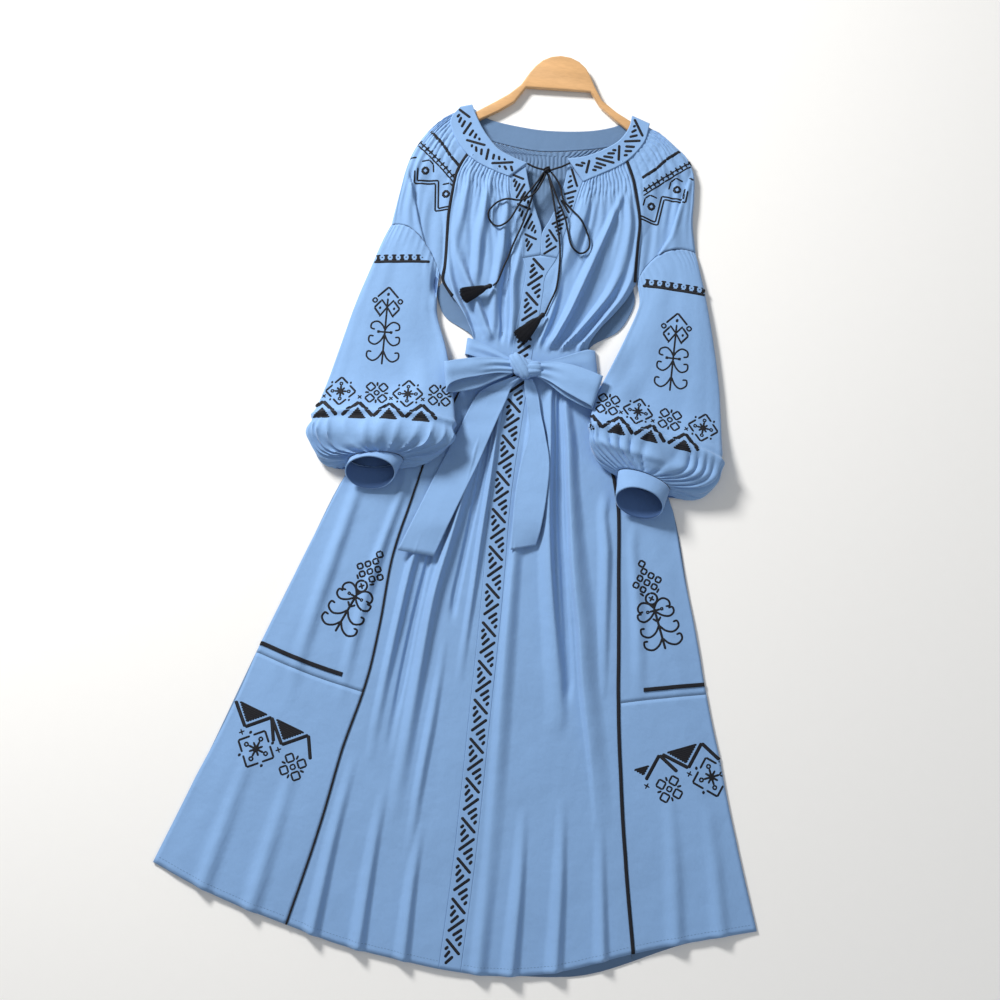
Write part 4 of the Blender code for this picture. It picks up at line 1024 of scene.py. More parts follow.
def side_panel(side, upper):
    """The skirt's side, sewn to the front panel and cut at the knee."""
    sign = side_sign(side)
    knee = KNEE[side]
    low, high = (FIRST_PART, knee) if upper else (knee, 1.0)
    count = round((high - low) * 130)
    head = 4 if upper else 0
    waist = BODICE[side][-1]

    def place(across, along):
        row = round(along * (count + head))
        if row < head:
            share = row / head
            seam_x = mix(waist.outer_x, skirt_x(low, "seam_" + side), share)
            edge_x = mix(waist.outer_x + sign * 15.0, skirt_x(low, "edge_" + side), share)
            x = mix(seam_x, edge_x, across)
            y = mix(waist.outer_y, row_y(low, x), share)
        else:
            part = mix(low, high, (row - head) / count)
            x = mix(skirt_x(part, "seam_" + side), skirt_x(part, "edge_" + side), across)
            y = row_y(part, x)
            if row == head and not upper:
                y -= SEAM / 2
            if row == head + count and upper:
                y += SEAM / 2
        return x, y, cloth_height(x, y)

    length = SKIRT_LENGTH * (high - low)
    level = "upper" if upper else "lower"
    return laid_sheet(f"skirt_side_{side}_{level}", SIDE_ACROSS, count + head, place, 130.0, length,
                      look("cloth"), nodes=(f"front_side_{side}_{level}",))


TAPE_LOW = {"left": 92.0, "right": 148.0}


def seam_tape(side):
    """Narrow stitched tape along the raglan seam and, below the belt, along the skirt's seam."""
    shape = bmesh.new()
    body = [row for row in ROWS[side] if row.outer_y > TAPE_LOW[side]]
    skirt = [row for row in ROWS[side] if row.outer_y < -20.0]
    for rows in (body, skirt):
        count = len(rows) - 1
        half = SEAM_TAPE_HALF if rows is body else SKIRT_TAPE_HALF[side]

        def place(across, along, rows=rows, count=count, half=half):
            index = round(along * count)
            row = rows[index]
            before, after = rows[max(0, index - 1)], rows[min(count, index + 1)]
            line = Vector((after.outer_x - before.outer_x, after.outer_y - before.outer_y)).normalized()
            reach = half * (2.0 * across - 1.0)
            x = row.outer_x - line.y * reach
            y = row.outer_y + line.x * reach
            crown = 0.35 * (1.0 - (2.0 * across - 1.0) ** 2)
            return x, y, cloth_height(x, y) + LAID_ON + TAPE_CLOTH + crown

        placed_grid(4, count, place, 2 * SEAM_TAPE_HALF, rows[-1].down - rows[0].down, shape)
    face_up(shape)
    return make_piece("seam_tape_" + side, shape, look("tape"), TAPE_CLOTH,
                      ("seam_trim_" + side,))


def knee_band(side):
    """Black tape a little above the seam at the knee."""
    middle = KNEE[side] - TAPE_ABOVE_KNEE

    def place(across, along):
        part = middle + KNEE_TAPE_HALF * (2.0 * along - 1.0)
        x = mix(skirt_x(part, "seam_" + side) + side_sign(side) * 34.0, skirt_x(part, "edge_" + side), across)
        return x, row_y(part, x), cloth_height(x, row_y(part, x)) + LAID_ON + TAPE_CLOTH

    return laid_sheet("knee_band_" + side, 60, 4, place, 7.0, 7.0, look("tape"), TAPE_CLOTH,
                      ("knee_tape_" + side,))


# Bands: each is two edges, from the top down or from the shoulder to the front
def band_edges_centre():
    rows_left, rows_right = ROWS["left"], ROWS["right"]
    first = 5 * BODICE_FINE - 1
    edges = []
    for index in range(first, len(rows_left)):
        left, right = rows_left[index], rows_right[index]
        edges.append(((left.inner_x, left.inner_y), (right.inner_x, right.inner_y)))
    return edges


def band_edges_v(side):
    rows = V_BANDS[side]
    count = (len(rows) - 1) * BODICE_FINE
    edges = []
    for step in range(count + 1):
        at = step / BODICE_FINE
        outer = ROWS[side][step]
        edges.append(((outer.inner_x, outer.inner_y), tuple(row_at(rows, at))))
    return edges


def band_edges_neck(rows):
    """Sewn edge and free edge of a part of the neckband."""
    edges = []
    for step in range((len(rows) - 1) * NECKBAND_FINE + 1):
        free_x, free_y, sewn_x, sewn_y = row_at(rows, step / NECKBAND_FINE)
        edges.append(((sewn_x, sewn_y), (free_x, free_y)))
    return edges


def band(name, edges, lift, nodes, finish="band", height=cloth_height,
         wall=BAND_CLOTH, roll=1.0):
    """A flat band with softly rolled edges."""
    count = len(edges) - 1
    length = sum(math.dist(a[0], b[0]) for a, b in zip(edges, edges[1:]))
    width = sum(math.dist(a, b) for a, b in edges) / len(edges)

    def place(across, along):
        first, second = edges[round(along * count)]
        x = mix(first[0], second[0], across)
        y = mix(first[1], second[1], across)
        edge = min(across, 1.0 - across) * width
        rolled = 0.2 * bell(edge - 1.6, 0.9) - 0.3 * bell(edge, 0.6)
        return x, y, height(x, y) + lift + roll * rolled

    return laid_sheet(name, 28, count, place, width, length, look(finish), wall, nodes)


# Back
def back_side_point(side, row):
    """The back's outer edge for one of its rows."""
    armpit = len(CAPS[side]) - 1
    if row <= armpit:
        return BODICE[side][row].outer_x, BODICE[side][row].outer_y
    return BACK_UNDERARM[side][row - armpit - 1]


def back_hem(x, y, part):
    """The back hangs a little lower than the front on one side."""
    near = smooth(1.0 - abs(x - BACK_HEM_CENTRE) / BACK_HEM_REACH)
    return y - BACK_HEM_DROP * near * smooth((part - 0.7) / 0.3)


BACK_STATIONS = [0.04, 0.12, 0.24, 0.40, 0.58, 0.80, 1.0]
BACK_FINE = 6
BACK_PLEATS = 40
NECK_ROWS = 2


def back_panel():
    bodice = len(BODICE["left"])
    total = NECK_ROWS + bodice + len(BACK_STATIONS)

    def coarse(across, row):
        if row < NECK_ROWS:
            at = across * (len(BACK_BAND) - 1)
            neck_x = spline([low.low_x for low in BACK_BAND], at)
            neck_y = spline([low.low_y for low in BACK_BAND], at)
            left, right = BODICE["left"][0], BODICE["right"][0]
            base_x = mix(left.outer_x + 1, right.outer_x - 1, across)
            base_y = mix(left.outer_y, right.outer_y, across)
            return mix(neck_x, base_x, row / NECK_ROWS), mix(neck_y - 1.0, base_y, row / NECK_ROWS)
        row -= NECK_ROWS
        if row < bodice:
            left_x, left_y = back_side_point("left", row)
            right_x, right_y = back_side_point("right", row)
            return mix(left_x + SEAM, right_x - SEAM, across), mix(left_y, right_y, across)
        part = BACK_STATIONS[row - bodice]
        x = mix(skirt_x(part, "seam_left") + SEAM / 2, skirt_x(part, "seam_right") - SEAM / 2, across)
        return x, back_hem(x, row_y(part, x), part)

    between = smooth_rows(coarse, total)
    count = (total - 1) * BACK_FINE

    def place(across, along):
        x, y = between(across, along * (total - 1))
        down = along * (total - 1) * 16.0
        wander = 0.3 * noise.noise(Vector((across * 12, down / 9, 4)))
        gathered = 1.6 * smooth((70.0 - down) / 40.0) * ridge(across * BACK_PLEATS + wander)
        return x, y, CLOTH + belt_lift(y) + gathered

    # the back's visible inner face carries painted shade; its underside has the cloth's own colour
    return laid_sheet("back_panel", 260, count, place, 260.0, 1180.0, look("inside"), nodes=("back_centre",),
                      inner_look=look("cloth"))


def back_side_panel(side):
    sign = side_sign(side)
    waist_x, waist_y = back_side_point(side, len(BODICE[side]) - 1)
    total = len(BACK_STATIONS) + 1

    def coarse(across, row):
        if row == 0:
            return waist_x + sign * 14.0 * across, waist_y
        part = BACK_STATIONS[row - 1]
        x = mix(skirt_x(part, "seam_" + side) + sign * SEAM / 2, skirt_x(part, "edge_" + side), across)
        return x, back_hem(x, row_y(part, x), part)

    between = smooth_rows(coarse, total)

    def place(across, along):
        x, y = between(across, along * (total - 1))
        return x, y, CLOTH + belt_lift(y)

    # the back's sides carry painted shade on their visible face
    return laid_sheet("back_side_panel_" + side, 12, (total - 1) * BACK_FINE, place, 130.0, SKIRT_LENGTH,
                      look("inside"), nodes=("back_side_" + side,), inner_look=look("cloth"))


# Sleeves
Flap = namedtuple("Flap", "y x")
FLAPS = {
    "left": [
        Flap(78, -136), Flap(100, -147), Flap(135, -161), Flap(165, -170), Flap(205, -185),
        Flap(250, -200), Flap(285, -214),
    ],
    "right": [
        Flap(85, 130), Flap(110, 137), Flap(140, 146), Flap(160, 153), Flap(200, 168), Flap(225, 180),
        Flap(280, 190), Flap(330, 202),
    ],
}
FLAP_DEPTH = 7.0

# The puff's fold over the sleeve: a groove, the fold and a hollow behind it, by the sleeve's rings
Crest = namedtuple("Crest", "row reach height")
PUFF_CRESTS = (Crest(7.05, 0.2, 2.6), Crest(6.76, 0.15, -2.2), Crest(7.7, 0.4, -2.8))


def flap_depth(side, x, y):
    """How much lower the sleeve's inner part lies than the fold over it."""
    flap = FLAPS[side]
    edge = table_value(flap, "y", "x", y)
    inside = side_sign(side) * (edge - x)
    ends = smooth((y - flap[0].y + 20.0) / 24.0) * smooth((flap[-1].y - y) / 40.0)
    recess = smooth(inside / 2.5) * smooth((58.0 - inside) / 40.0)
    rim = 1.2 * bell(inside + 2.5, 3.0)
    return ends * (FLAP_DEPTH * recess - rim)


def sleeve_cap(side):
    """A raglan cap: front layer, fold at the outer edge, back layer."""
    caps = CAPS[side]
    sign = side_sign(side)
    chosen = bpy.context.scene.dress
    fold_at = 0.72
    height = 190.0

    def place(across, along):
        at = along * (len(caps) - 1)
        outer_x, outer_y, middle_x, middle_y = row_at(caps, at)
        seam_x, seam_y = row_at(BODICE[side], at)[:2]
        top = across <= fold_at
        away = 1.0 - across / fold_at if top else (across - fold_at) / (1.0 - fold_at)
        share = away ** (1.7 if top else 1.35)
        x, y = bent_line((outer_x, outer_y), (middle_x, middle_y), (seam_x + sign * SEAM, seam_y), share)
        high = cloth_height(x, y)
        if not top:
            return x, y, 0.5 * high * (1.0 - away) ** 4
        z = 0.5 * high + 0.5 * high * (1.0 - (1.0 - away) ** 4)
        inside = smooth(min(across / 0.04, (fold_at - across) / 0.1))
        gathered = shirring(1.0 - away, 26.0 * at, CAP_PLEATS, chosen.shirring, 5.0)
        gathered += 1.4 * smooth((along - 0.3) / 0.3) * (0.5 + 0.5 * math.cos(7.0 * math.pi * share))
        z = max(z - flap_depth(side, x, y) * inside, 0.5 * high + 0.6)
        return x, y, z + gathered * inside * (1.0 if along > 0.06 else 0.7)

    return folded_shell("cap_" + side, 150, (len(caps) - 1) * 9, place, 240.0, height, look("cloth"),
                        nodes=("sleeve_cap_" + side,))


def sleeve_support(x, y):
    """How far a sleeve is held up where it lies on the skirt's side."""
    if y > 60:
        return 0.0
    part = max(0.0, -y / SKIRT_LENGTH)
    left = skirt_x(part, "edge_left")
    right = skirt_x(part, "edge_right")
    inside = min(x - left, right - x)
    return SLEEVE_SUPPORT * smooth((inside + SUPPORT_RAMP) / SUPPORT_RAMP) * smooth((60.0 - y) / 40.0)


def cuff_point(side, share, angle):
    """A point of the cuff: share 0 is its seam with the sleeve, 1 its free edge."""
    first, last = CUFFS[side]
    x, y, z, across_x, across_y, rise_y, rise_z = [mix(low, high, share) for low, high in zip(first, last)]
    return (x + across_x * math.cos(angle), y + across_y * math.cos(angle) + rise_y * math.sin(angle),
            z + rise_z * math.sin(angle))


def sleeve_ring(side, angle, row):
    """A point of one of the lower sleeve's rings, from the gathered seam to the cuff."""
    rings = SLEEVES[side]
    if row == len(rings) + 1:
        return cuff_point(side, CUFF_GAP, angle)
    share = 0.5 - 0.5 * math.copysign(abs(math.cos(angle)) ** 0.85, math.cos(angle))
    if row == 0:
        cap = CAPS[side][-1]
        seam = BODICE[side][len(CAPS[side]) - 1]
        curve = [bent_line((cap.outer_x, cap.outer_y), (cap.middle_x, cap.middle_y),
                           (seam.outer_x, seam.outer_y), (share + step) * SLEEVE_TO_ARMPIT)
                 for step in (-0.02, 0.0, 0.02)]
        along = Vector((curve[2][0] - curve[0][0], curve[2][1] - curve[0][1])).normalized()
        x = curve[1][0] + along.y * SLEEVE_SEAM * -side_sign(side)
        y = curve[1][1] - abs(along.x) * SLEEVE_SEAM
        rise = math.sin(angle)
        return x, y, (front_height(x, y) + CLOTH) * (0.5 + 0.5 * math.copysign(abs(rise) ** 0.5, rise))
    ring = rings[row - 1]
    middle = (0.5 * (ring.outer_x + ring.inner_x), 0.5 * (ring.outer_y + ring.inner_y) + ring.bend)
    x, y = bent_line((ring.outer_x, ring.outer_y), middle, (ring.inner_x, ring.inner_y), share)
    power = 0.62 if math.sin(angle) > 0 else 0.45
    rise = 0.5 + 0.5 * math.copysign(abs(math.sin(angle)) ** power, math.sin(angle))
    y += ring.lean * (rise - 0.5)
    deep = flap_depth(side, x, y) * smooth(2.5 * math.sin(angle))
    return x, y, ring.height * rise + sleeve_support(x, y) - deep


def lower_sleeve(side):
    total = len(SLEEVES[side]) + 2
    between = smooth_rows(lambda angle, row: sleeve_ring(side, angle, row), total)
    seed = 11.0 if side == "left" else 17.0

    def place(across, along):
        angle = 2.0 * math.pi * across
        row = along * (total - 1)
        x, y, z = between(angle, row)
        turn = Vector((2.0 * math.cos(angle), 2.0 * math.sin(angle), seed))
        head = smooth((1.6 - row) / 1.5)
        foot = smooth((row - 6.7) / 1.1)
        wander = 0.5 * noise.noise(turn + Vector((0.0, 0.0, 0.3 * row)))
        gathered = 0.9 * head * (ridge(across * SLEEVE_PLEATS + wander) - 1.0)
        uneven = 0.7 + 0.6 * noise.noise(turn * 3.0)
        deep = CUFF_GATHER * foot * uneven * (ridge(across * CUFF_PLEATS + 2.0 * wander) - 0.75)
        folds = 1.5 * noise.noise(1.4 * turn + Vector((0.25 * row, 0.0, 0.0))) * smooth(row / 2.0)
        folds *= smooth((total - 1 - row) / 1.5)
        top = 1.0 if math.sin(angle) > -0.1 else 0.25
        crest = sum(part.height * bell(row - part.row, part.reach) for part in PUFF_CRESTS)
        return x, y, z, (gathered + crest + deep * smooth((total - 1 - row) / 0.2) + folds) * top

    # the sleeve's inner face carries painted shade
    return folded_shell("puff_sleeve_" + side, SLEEVE_AROUND, (total - 1) * SLEEVE_FINE, place, 380.0, 330.0,
                        look("cloth"), nodes=("lower_sleeve_" + side,), inner_look=look("inner_look"))


def cuff(side):
    def place(across, along):
        angle = 2.0 * math.pi * across
        x, y, z = cuff_point(side, along, angle)
        edge = min(along, 1.0 - along) * 24.0
        rolled = 0.35 * bell(edge - 1.6, 1.0)
        wave = 0.9 * noise.noise(Vector((1.5 * math.cos(angle), 1.5 * math.sin(angle), 2.0 + along)))
        return x, y, z, rolled + wave * along

    # the cuff's inner face carries painted shade
    return folded_shell("cuff_band_" + side, 120, 14, place, 210.0, 32.0, look("cloth"), wall=BAND_CLOTH,
                        nodes=("cuff_" + side,), inner_look=look("inner_look"))


# Belt
def belt_wrap(side):
    wraps = BELT_WRAPS[side]

    def coarse(across, row):
        strip = wraps[row]
        return (mix(strip.lower_x, strip.upper_x, across), mix(strip.lower_y, strip.upper_y, across), strip.z)

    between = smooth_rows(coarse, len(wraps))

    def place(across, along):
        row = along * (len(wraps) - 1)
        x, y, z = between(across, row)
        near = smooth(1.0 - along)
        crease = 1.5 * near * math.sin(across * 3.0 * math.pi + 0.6 * row) * math.sin(math.pi * across)
        inner = smooth((len(wraps) - 1.6 - row) / 1.0)
        z = mix(z, max(z, cloth_height(x, y) + LAID_ON + CLOTH), inner)
        return x, y, z + crease + 0.5 * math.sin(across * math.pi) * smooth((6.0 - row) / 2.0)

    return folded_shell("belt_wrap_" + side, 24, (len(wraps) - 1) * 8, place, 26.0, 90.0, look("cloth"),
                        nodes=("belt_" + side,))


def bow_loop(side):
    strips = BOW_LOOPS[side]
    count = len(strips)

    def coarse(across, row):
        out = row < count
        strip = strips[min(row, 2 * count - row, count - 1)]
        x = mix(strip.lower_x, strip.upper_x, across)
        y = mix(strip.lower_y, strip.upper_y, across)
        wide = smooth(min(row, 2 * count - row) / 2.0)
        z = strip.z if out else strip.z + mix(3.4, LOOP_HEIGHT, wide)
        if row > count:
            y += DRAWN_UP[side] * (1.0 - across) ** 1.5 * math.sin(math.pi * (row - count) / count)
        if row == count:
            x += math.copysign(4.0, strip.lower_x)
            z = strip.z + 0.5 * LOOP_HEIGHT
        return x, y, z + 1.2 * wide * math.sin(across * math.pi) * (0 if out else 1)

    between = smooth_rows(coarse, 2 * count + 1)

    def place(across, along):
        row = along * 2 * count
        x, y, z = between(across, row)
        knot = smooth(1.0 - min(row, 2 * count - row) / 2.6)
        crease = 2.4 * knot * math.sin(across * 4.0 * math.pi + 0.5 * row) * math.sin(math.pi * across)
        crease += 1.3 * math.sin(math.pi * across) * math.cos(5.0 * across + 0.35 * row) * smooth(row / 3.0)
        return x, y, z + crease + ripple(x, y, 30.0, 0.8) * (1.0 - knot)

    return folded_shell("bow_" + side, 28, 2 * count * 9, place, 45.0, 190.0, look("cloth"),
                        nodes=("bow_loop_" + side,))


TAIL_STOPS = 3


def rest_line(between, row):
    """Heights at a strip's two edges where it lies straight across the folds below it."""
    heights = [resting_height(*between(across, row), 7.0) for across in (0.0, 0.25, 0.5, 0.75, 1.0)]
    left, right = max(heights[:2]), max(heights[3:])
    lift = max(0.0, heights[2] - 0.5 * (left + right))
    return left + lift, right + lift


def belt_tail(side):
    strips = TAILS[side]

    def coarse(across, row):
        strip = strips[row]
        return mix(strip.upper_x, strip.lower_x, across), mix(strip.upper_y, strip.lower_y, across)

    between = smooth_rows(coarse, len(strips))
    lines = [rest_line(between, step / TAIL_STOPS) for step in range(TAIL_STOPS * (len(strips) - 1) + 1)]

    def place(across, along):
        row = along * (len(strips) - 1)
        x, y = between(across, row)
        left, right = [spline(edge, TAIL_STOPS * row) for edge in zip(*lines)]
        rest = max(mix(left, right, across), cloth_height(x, y)) + LAID_ON + CLOTH + 0.6
        start = smooth(1.0 - row / 1.2)
        crease = 1.2 * start * math.sin(across * 3.0 * math.pi)
        z = mix(rest, max(rest, TAIL_AT_KNOT + CLOTH), start)
        edge = min(across, 1.0 - across) * 40.0
        rolled = 0.25 * bell(edge - 1.8, 0.9)
        return x, y, z + crease + rolled

    return laid_sheet("tail_" + side, 34, (len(strips) - 1) * 9, place, 45.0, 290.0, look("cloth"),
                      nodes=("belt_tail_" + side,))


def knot_lobe(shape, lobe):
    """One rounded turn of the knot, creased along its length."""
    layer = shape.loops.layers.uv.verify()
    turn = Matrix.Rotation(math.radians(lobe.turn), 3, "Z")
    for point in bmesh.ops.create_icosphere(shape, subdivisions=5, radius=1.0)["verts"]:
        full = [math.copysign(abs(value) ** 0.78, value) for value in point.co]
        groove = 1.0 - lobe.crease * math.cos(5.0 * point.co.y + 1.2 * point.co.x + 0.6) ** 4
        sized = Vector([0.5 * size * groove * value for size, value in zip(lobe[:3], full)])
        point.co = turn @ sized + Vector((lobe.x, lobe.y, lobe.lift)) + Vector(KNOT_AT)
        for loop in point.link_loops:
            loop[layer].uv = (sized.x * MM, sized.y * MM)


def belt_knot():
    shape = bmesh.new()
    for lobe in KNOT_LOBES:
        knot_lobe(shape, lobe)
    return make_piece("bow_knot", shape, look("cloth"), nodes=("belt_knot",))


# Drawstring
def cord_points(stops):
    """Points a step apart on a smooth curve through the route."""
    fine = [Vector(row_at(stops, at / 20.0)) for at in range(20 * (len(stops) - 1) + 1)]
    length = sum((b.xy - a.xy).length for a, b in zip(fine, fine[1:]))
    count = max(2, round(length / CORD_STEP))
    points, walked, wanted = [fine[0]], 0.0, length / count
    for a, b in zip(fine, fine[1:]):
        walked += (b.xy - a.xy).length
        if walked >= wanted * len(points) - 1e-6 and len(points) < count:
            points.append(b)
    points.append(fine[-1])
    return [Vector((p.x, p.y, cord_rest(p.x, p.y) + CORD_RADIUS + 0.8 * p.z)) for p in points]


def cord_rest(x, y):
    """Height of what a cord lies on: the cloth, and the bands and the shirring beside the opening."""
    raised = 2.2 * smooth((y - 165.0) / 12.0) * smooth((abs(x + 5.0) - 2.0) / 6.0)
    return drape_height(x, y, 3.0) + 0.5 + raised


def even_line(points, step):
    """Points an even step apart along a smooth line through others."""
    fine = [Vector(row_at(points, at / 12.0)) for at in range(12 * (len(points) - 1) + 1)]
    return [fine[index].lerp(fine[index + 1], share) for index, share in even_stops(walk(fine), step)]


def cord_tube(name, route, nodes, radius=CORD_RADIUS):
    """A twisted cord round a line."""
    line = even_line(route, CORD_RING_STEP)
    count = len(line) - 1
    length = CORD_RING_STEP * count
    frames = []
    for index, point in enumerate(line):
        ahead = (line[min(count, index + 1)] - line[max(0, index - 1)]).normalized()
        level = ahead.cross(Vector((0, 0, 1))).normalized()
        frames.append((point, level, level.cross(ahead)))

    def place(across, along):
        index = round(along * count)
        point, level, upward = frames[index]
        angle = 2.0 * math.pi * across
        twist = 0.5 + 0.5 * math.cos(2.0 * (angle - 2.0 * math.pi * index * CORD_RING_STEP / CORD_TWIST))
        out = radius * (0.86 + 0.14 * twist)
        if index in (0, count):
            out *= 0.55
        spot = point + level * (math.cos(angle) * out) + upward * (math.sin(angle) * out)
        return spot.x, spot.y, spot.z

    shape, _ = placed_grid(12, count, place, 2 * math.pi * radius, length)
    bmesh.ops.remove_doubles(shape, verts=shape.verts, dist=0.02)
    bmesh.ops.holes_fill(shape, edges=[edge for edge in shape.edges if edge.is_boundary], sides=20)
    bmesh.ops.recalc_face_normals(shape, faces=shape.faces)
    return make_piece(name, shape, look("cord"), nodes=nodes), line


def joined_route(*stops):
    """Several routes as one line, which meet inside the knot."""
    return [point for part in stops for point in cord_points(part)]


def cord_knot():
    """Two turns of the drawstring pulled tight."""
    x, y = CORD_KNOT
    middle = Vector((x, y, cord_rest(x, y) + CORD_KNOT_RADIUS))
    lean = Vector((0.35, -0.9, 0.0)).normalized()
    side = Vector((0.9, 0.35, 0.0)).normalized()
    out = CORD_KNOT_RADIUS - CORD_RADIUS
    route = []
    for step in range(21):
        turn = step / 20.0
        angle = 4.2 * math.pi * turn
        spot = middle + lean * (out * (turn - 0.5) * 1.5) + side * (out * math.cos(angle))
        route.append(spot + Vector((0.0, 0.0, out * 0.9 * math.sin(angle))))
    return cord_tube("drawstring_knot", route, ("cord_knot",), 1.45)[0]


def tassel(name, spec):
    """A bound head and a skirt of loose threads."""
    start = Vector((spec.x, spec.y, 0.0))
    end = Vector((spec.to_x, spec.to_y, 0.0))
    along = (end - start).normalized()
    across = Vector((-along.y, along.x, 0.0))
    length = (end - start).length
    base = max(drape_height(*start.lerp(end, share).xy, 12.0) for share in (0.0, 0.33, 0.66, 1.0))
    base += TASSEL_CLEAR
    shape = bmesh.new()
    shape.loops.layers.uv.verify()

    def head(turn, run):
        place, out = TASSEL_HEAD[round(run * (len(TASSEL_HEAD) - 1))]
        angle = 2.0 * math.pi * turn
        spot = start + along * place + across * (math.cos(angle) * out * 1.05)
        return spot.x, spot.y, base + 3.3 + math.sin(angle) * min(out, 3.1)

    placed_grid(20, len(TASSEL_HEAD) - 1, head, 20.0, 13.0, shape)

    # Threads fan out from the neck and are cut to nearly one length
    for index in range(TASSEL_THREADS):
        ring = math.sqrt((index + 0.5) / TASSEL_THREADS)
        angle = GOLDEN_ANGLE * index
        sway = noise.noise(Vector((index * 1.7, 3.1, 0.5)))
        aside, above = ring * math.cos(angle), ring * math.sin(angle)
        reach = length * (0.96 + 0.07 * sway) - 4.0 * ring ** 2

        def strand(turn, run, aside=aside, above=above, reach=reach, sway=sway):
            spread = 2.8 + 9.2 * run ** 0.75
            spot = start + along * mix(10.5, reach, run)
            spot += across * (aside * spread + 1.6 * sway * run * math.sin(3.0 * run + 5.0 * sway))
            high = base + 3.3 + above * mix(2.4, 3.0, run) - 0.3 * run
            turn *= 2.0 * math.pi
            thick = 0.75 * (1.0 - 0.25 * run)
            spot += across * (thick * math.cos(turn))
            return spot.x, spot.y, max(high + thick * math.sin(turn), base - 0.2)

        placed_grid(4, 7, strand, 2.0, length, shape)
    bmesh.ops.remove_doubles(shape, verts=shape.verts, dist=0.01)
    bmesh.ops.holes_fill(shape, edges=[edge for edge in shape.edges if edge.is_boundary], sides=20)
    bmesh.ops.recalc_face_normals(shape, faces=shape.faces)
    return make_piece("drawstring_" + name, shape, look("cord"), nodes=(name,))


def declare_cord(made, line, far_end, pieces):
    tuple(line[0] * MM)
    walk(line)[-1] * MM
    [tuple(point * MM) for point in line]
    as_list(pieces)


def drawstring():
    knot = cord_knot()
    tassels = {name: tassel(name, spec) for name, spec in TASSELS.items()}
    made = {}
    for side, other in (("left", "right"), ("right", "left")):
        route = joined_route(CORDS["cord_neck_" + side], CORDS["cord_end_" + other])
        made["strand_" + side] = cord_tube("drawstring_" + side, route,
                                           ("cord_neck_" + side, "cord_end_" + other))
        made["loop_" + side] = cord_tube("drawstring_loop_" + side, cord_points(CORDS["cord_loop_" + side]),
                                         ("cord_loop_" + side,))
    declare_cord(*made["strand_left"], "knot", [tassels["tassel_right"], knot])
    declare_cord(*made["strand_right"], "knot", [tassels["tassel_left"]])
    for side in SIDES:
        declare_cord(*made["loop_" + side], "object", [])


# Embroidery: raised lines of thread laid on the cloth below them
class Ground:
    """The top of the cloth that a stitch lies on."""

    def __init__(self, *pieces):
        graph = bpy.context.evaluated_depsgraph_get()
        self.trees = [BVHTree.FromObject(piece, graph) for piece in pieces]

    def top(self, x, y):
        """Height in millimetres, or None beside the cloth."""
        start = Vector((x * MM, y * MM, 0.2))
        best = None
        for tree in self.trees:
            hit = tree.ray_cast(start, Vector((0.0, 0.0, -1.0)))[0]
            if hit is not None:
                best = hit.z / MM if best is None else max(best, hit.z / MM)
        return best


def stitched_line(shape, ground, points, width, rise=0.5, step=1.6):
    """Adds one satin line along flat points (x, y)."""
    walked = [0.0]
    for a, b in zip(points, points[1:]):
        walked.append(walked[-1] + math.dist(a, b))
    if walked[-1] < 0.3:
        return
    line = []
    for index, share in even_stops(walked, step):
        a, b = points[index], points[index + 1]
        line.append(Vector((mix(a[0], b[0], share), mix(a[1], b[1], share))))
    heights = [ground.top(spot.x, spot.y) for spot in line]
    kept = [at for at, height in enumerate(heights) if height is not None]
    if len(kept) < 2 or kept[-1] - kept[0] != len(kept) - 1:
        return
    line, heights = line[kept[0]:kept[-1] + 1], heights[kept[0]:kept[-1] + 1]
    count = len(line) - 1

    def place(across, along):
        at = round(along * count)
        ahead = (line[min(count, at + 1)] - line[max(0, at - 1)]).normalized()
        out = (2.0 * across - 1.0) * 0.5 * width
        if at in (0, count):
            out *= 0.7
        x, y = line[at].x - ahead.y * out, line[at].y + ahead.x * out
        z = ground.top(x, y)
        if z is None or abs(z - heights[at]) > 2.5:
            z = heights[at]
        crown = rise * (1.0 - (2.0 * across - 1.0) ** 2)
        if at in (0, count):
            crown *= 0.3
        return x, y, z + crown - 0.12

    placed_grid(4, count, place, width, walked[-1], shape)


def finish_stitching(name, shape, finish="thread"):
    shape.normal_update()
    for face in shape.faces:
        if face.normal.z < 0:
            face.normal_flip()
    return make_piece(name, shape, look(finish), 0.35)


# One repeat of the bands: bars from (across, down) to (across, down), in millimetres
BAND_REPEAT = 53.0
BAND_BARS = [
    (-10.3, 0.0, 10.3, 18.0), (-10.2, 14.2, -5.8, 9.4), (-9.0, 24.0, -3.0, 14.5), (-7.5, 32.0, 2.0, 21.0),
    (-9.6, 43.5, 10.4, 25.0), (-2.6, 48.0, 9.0, 38.0), (2.0, 54.0, 10.4, 45.6), (6.8, 59.6, 10.4, 54.4),
]
BAR_WIDTH = 4.9


class Track:
    """Places along a band by millimetres across its middle and along it."""

    def __init__(self, edges):
        self.edges = edges
        self.middles = [Vector(((a[0] + b[0]) / 2, (a[1] + b[1]) / 2)) for a, b in edges]
        self.walked = walk(self.middles)

    def point(self, across, along):
        index = 0
        while index < len(self.walked) - 2 and self.walked[index + 1] < along:
            index += 1
        share = (along - self.walked[index]) / (self.walked[index + 1] - self.walked[index])
        middle = self.middles[index].lerp(self.middles[index + 1], share)
        first = Vector(self.edges[index][0]).lerp(Vector(self.edges[index + 1][0]), share)
        second = Vector(self.edges[index][1]).lerp(Vector(self.edges[index + 1][1]), share)
        return tuple(middle + (second - first).normalized() * across)


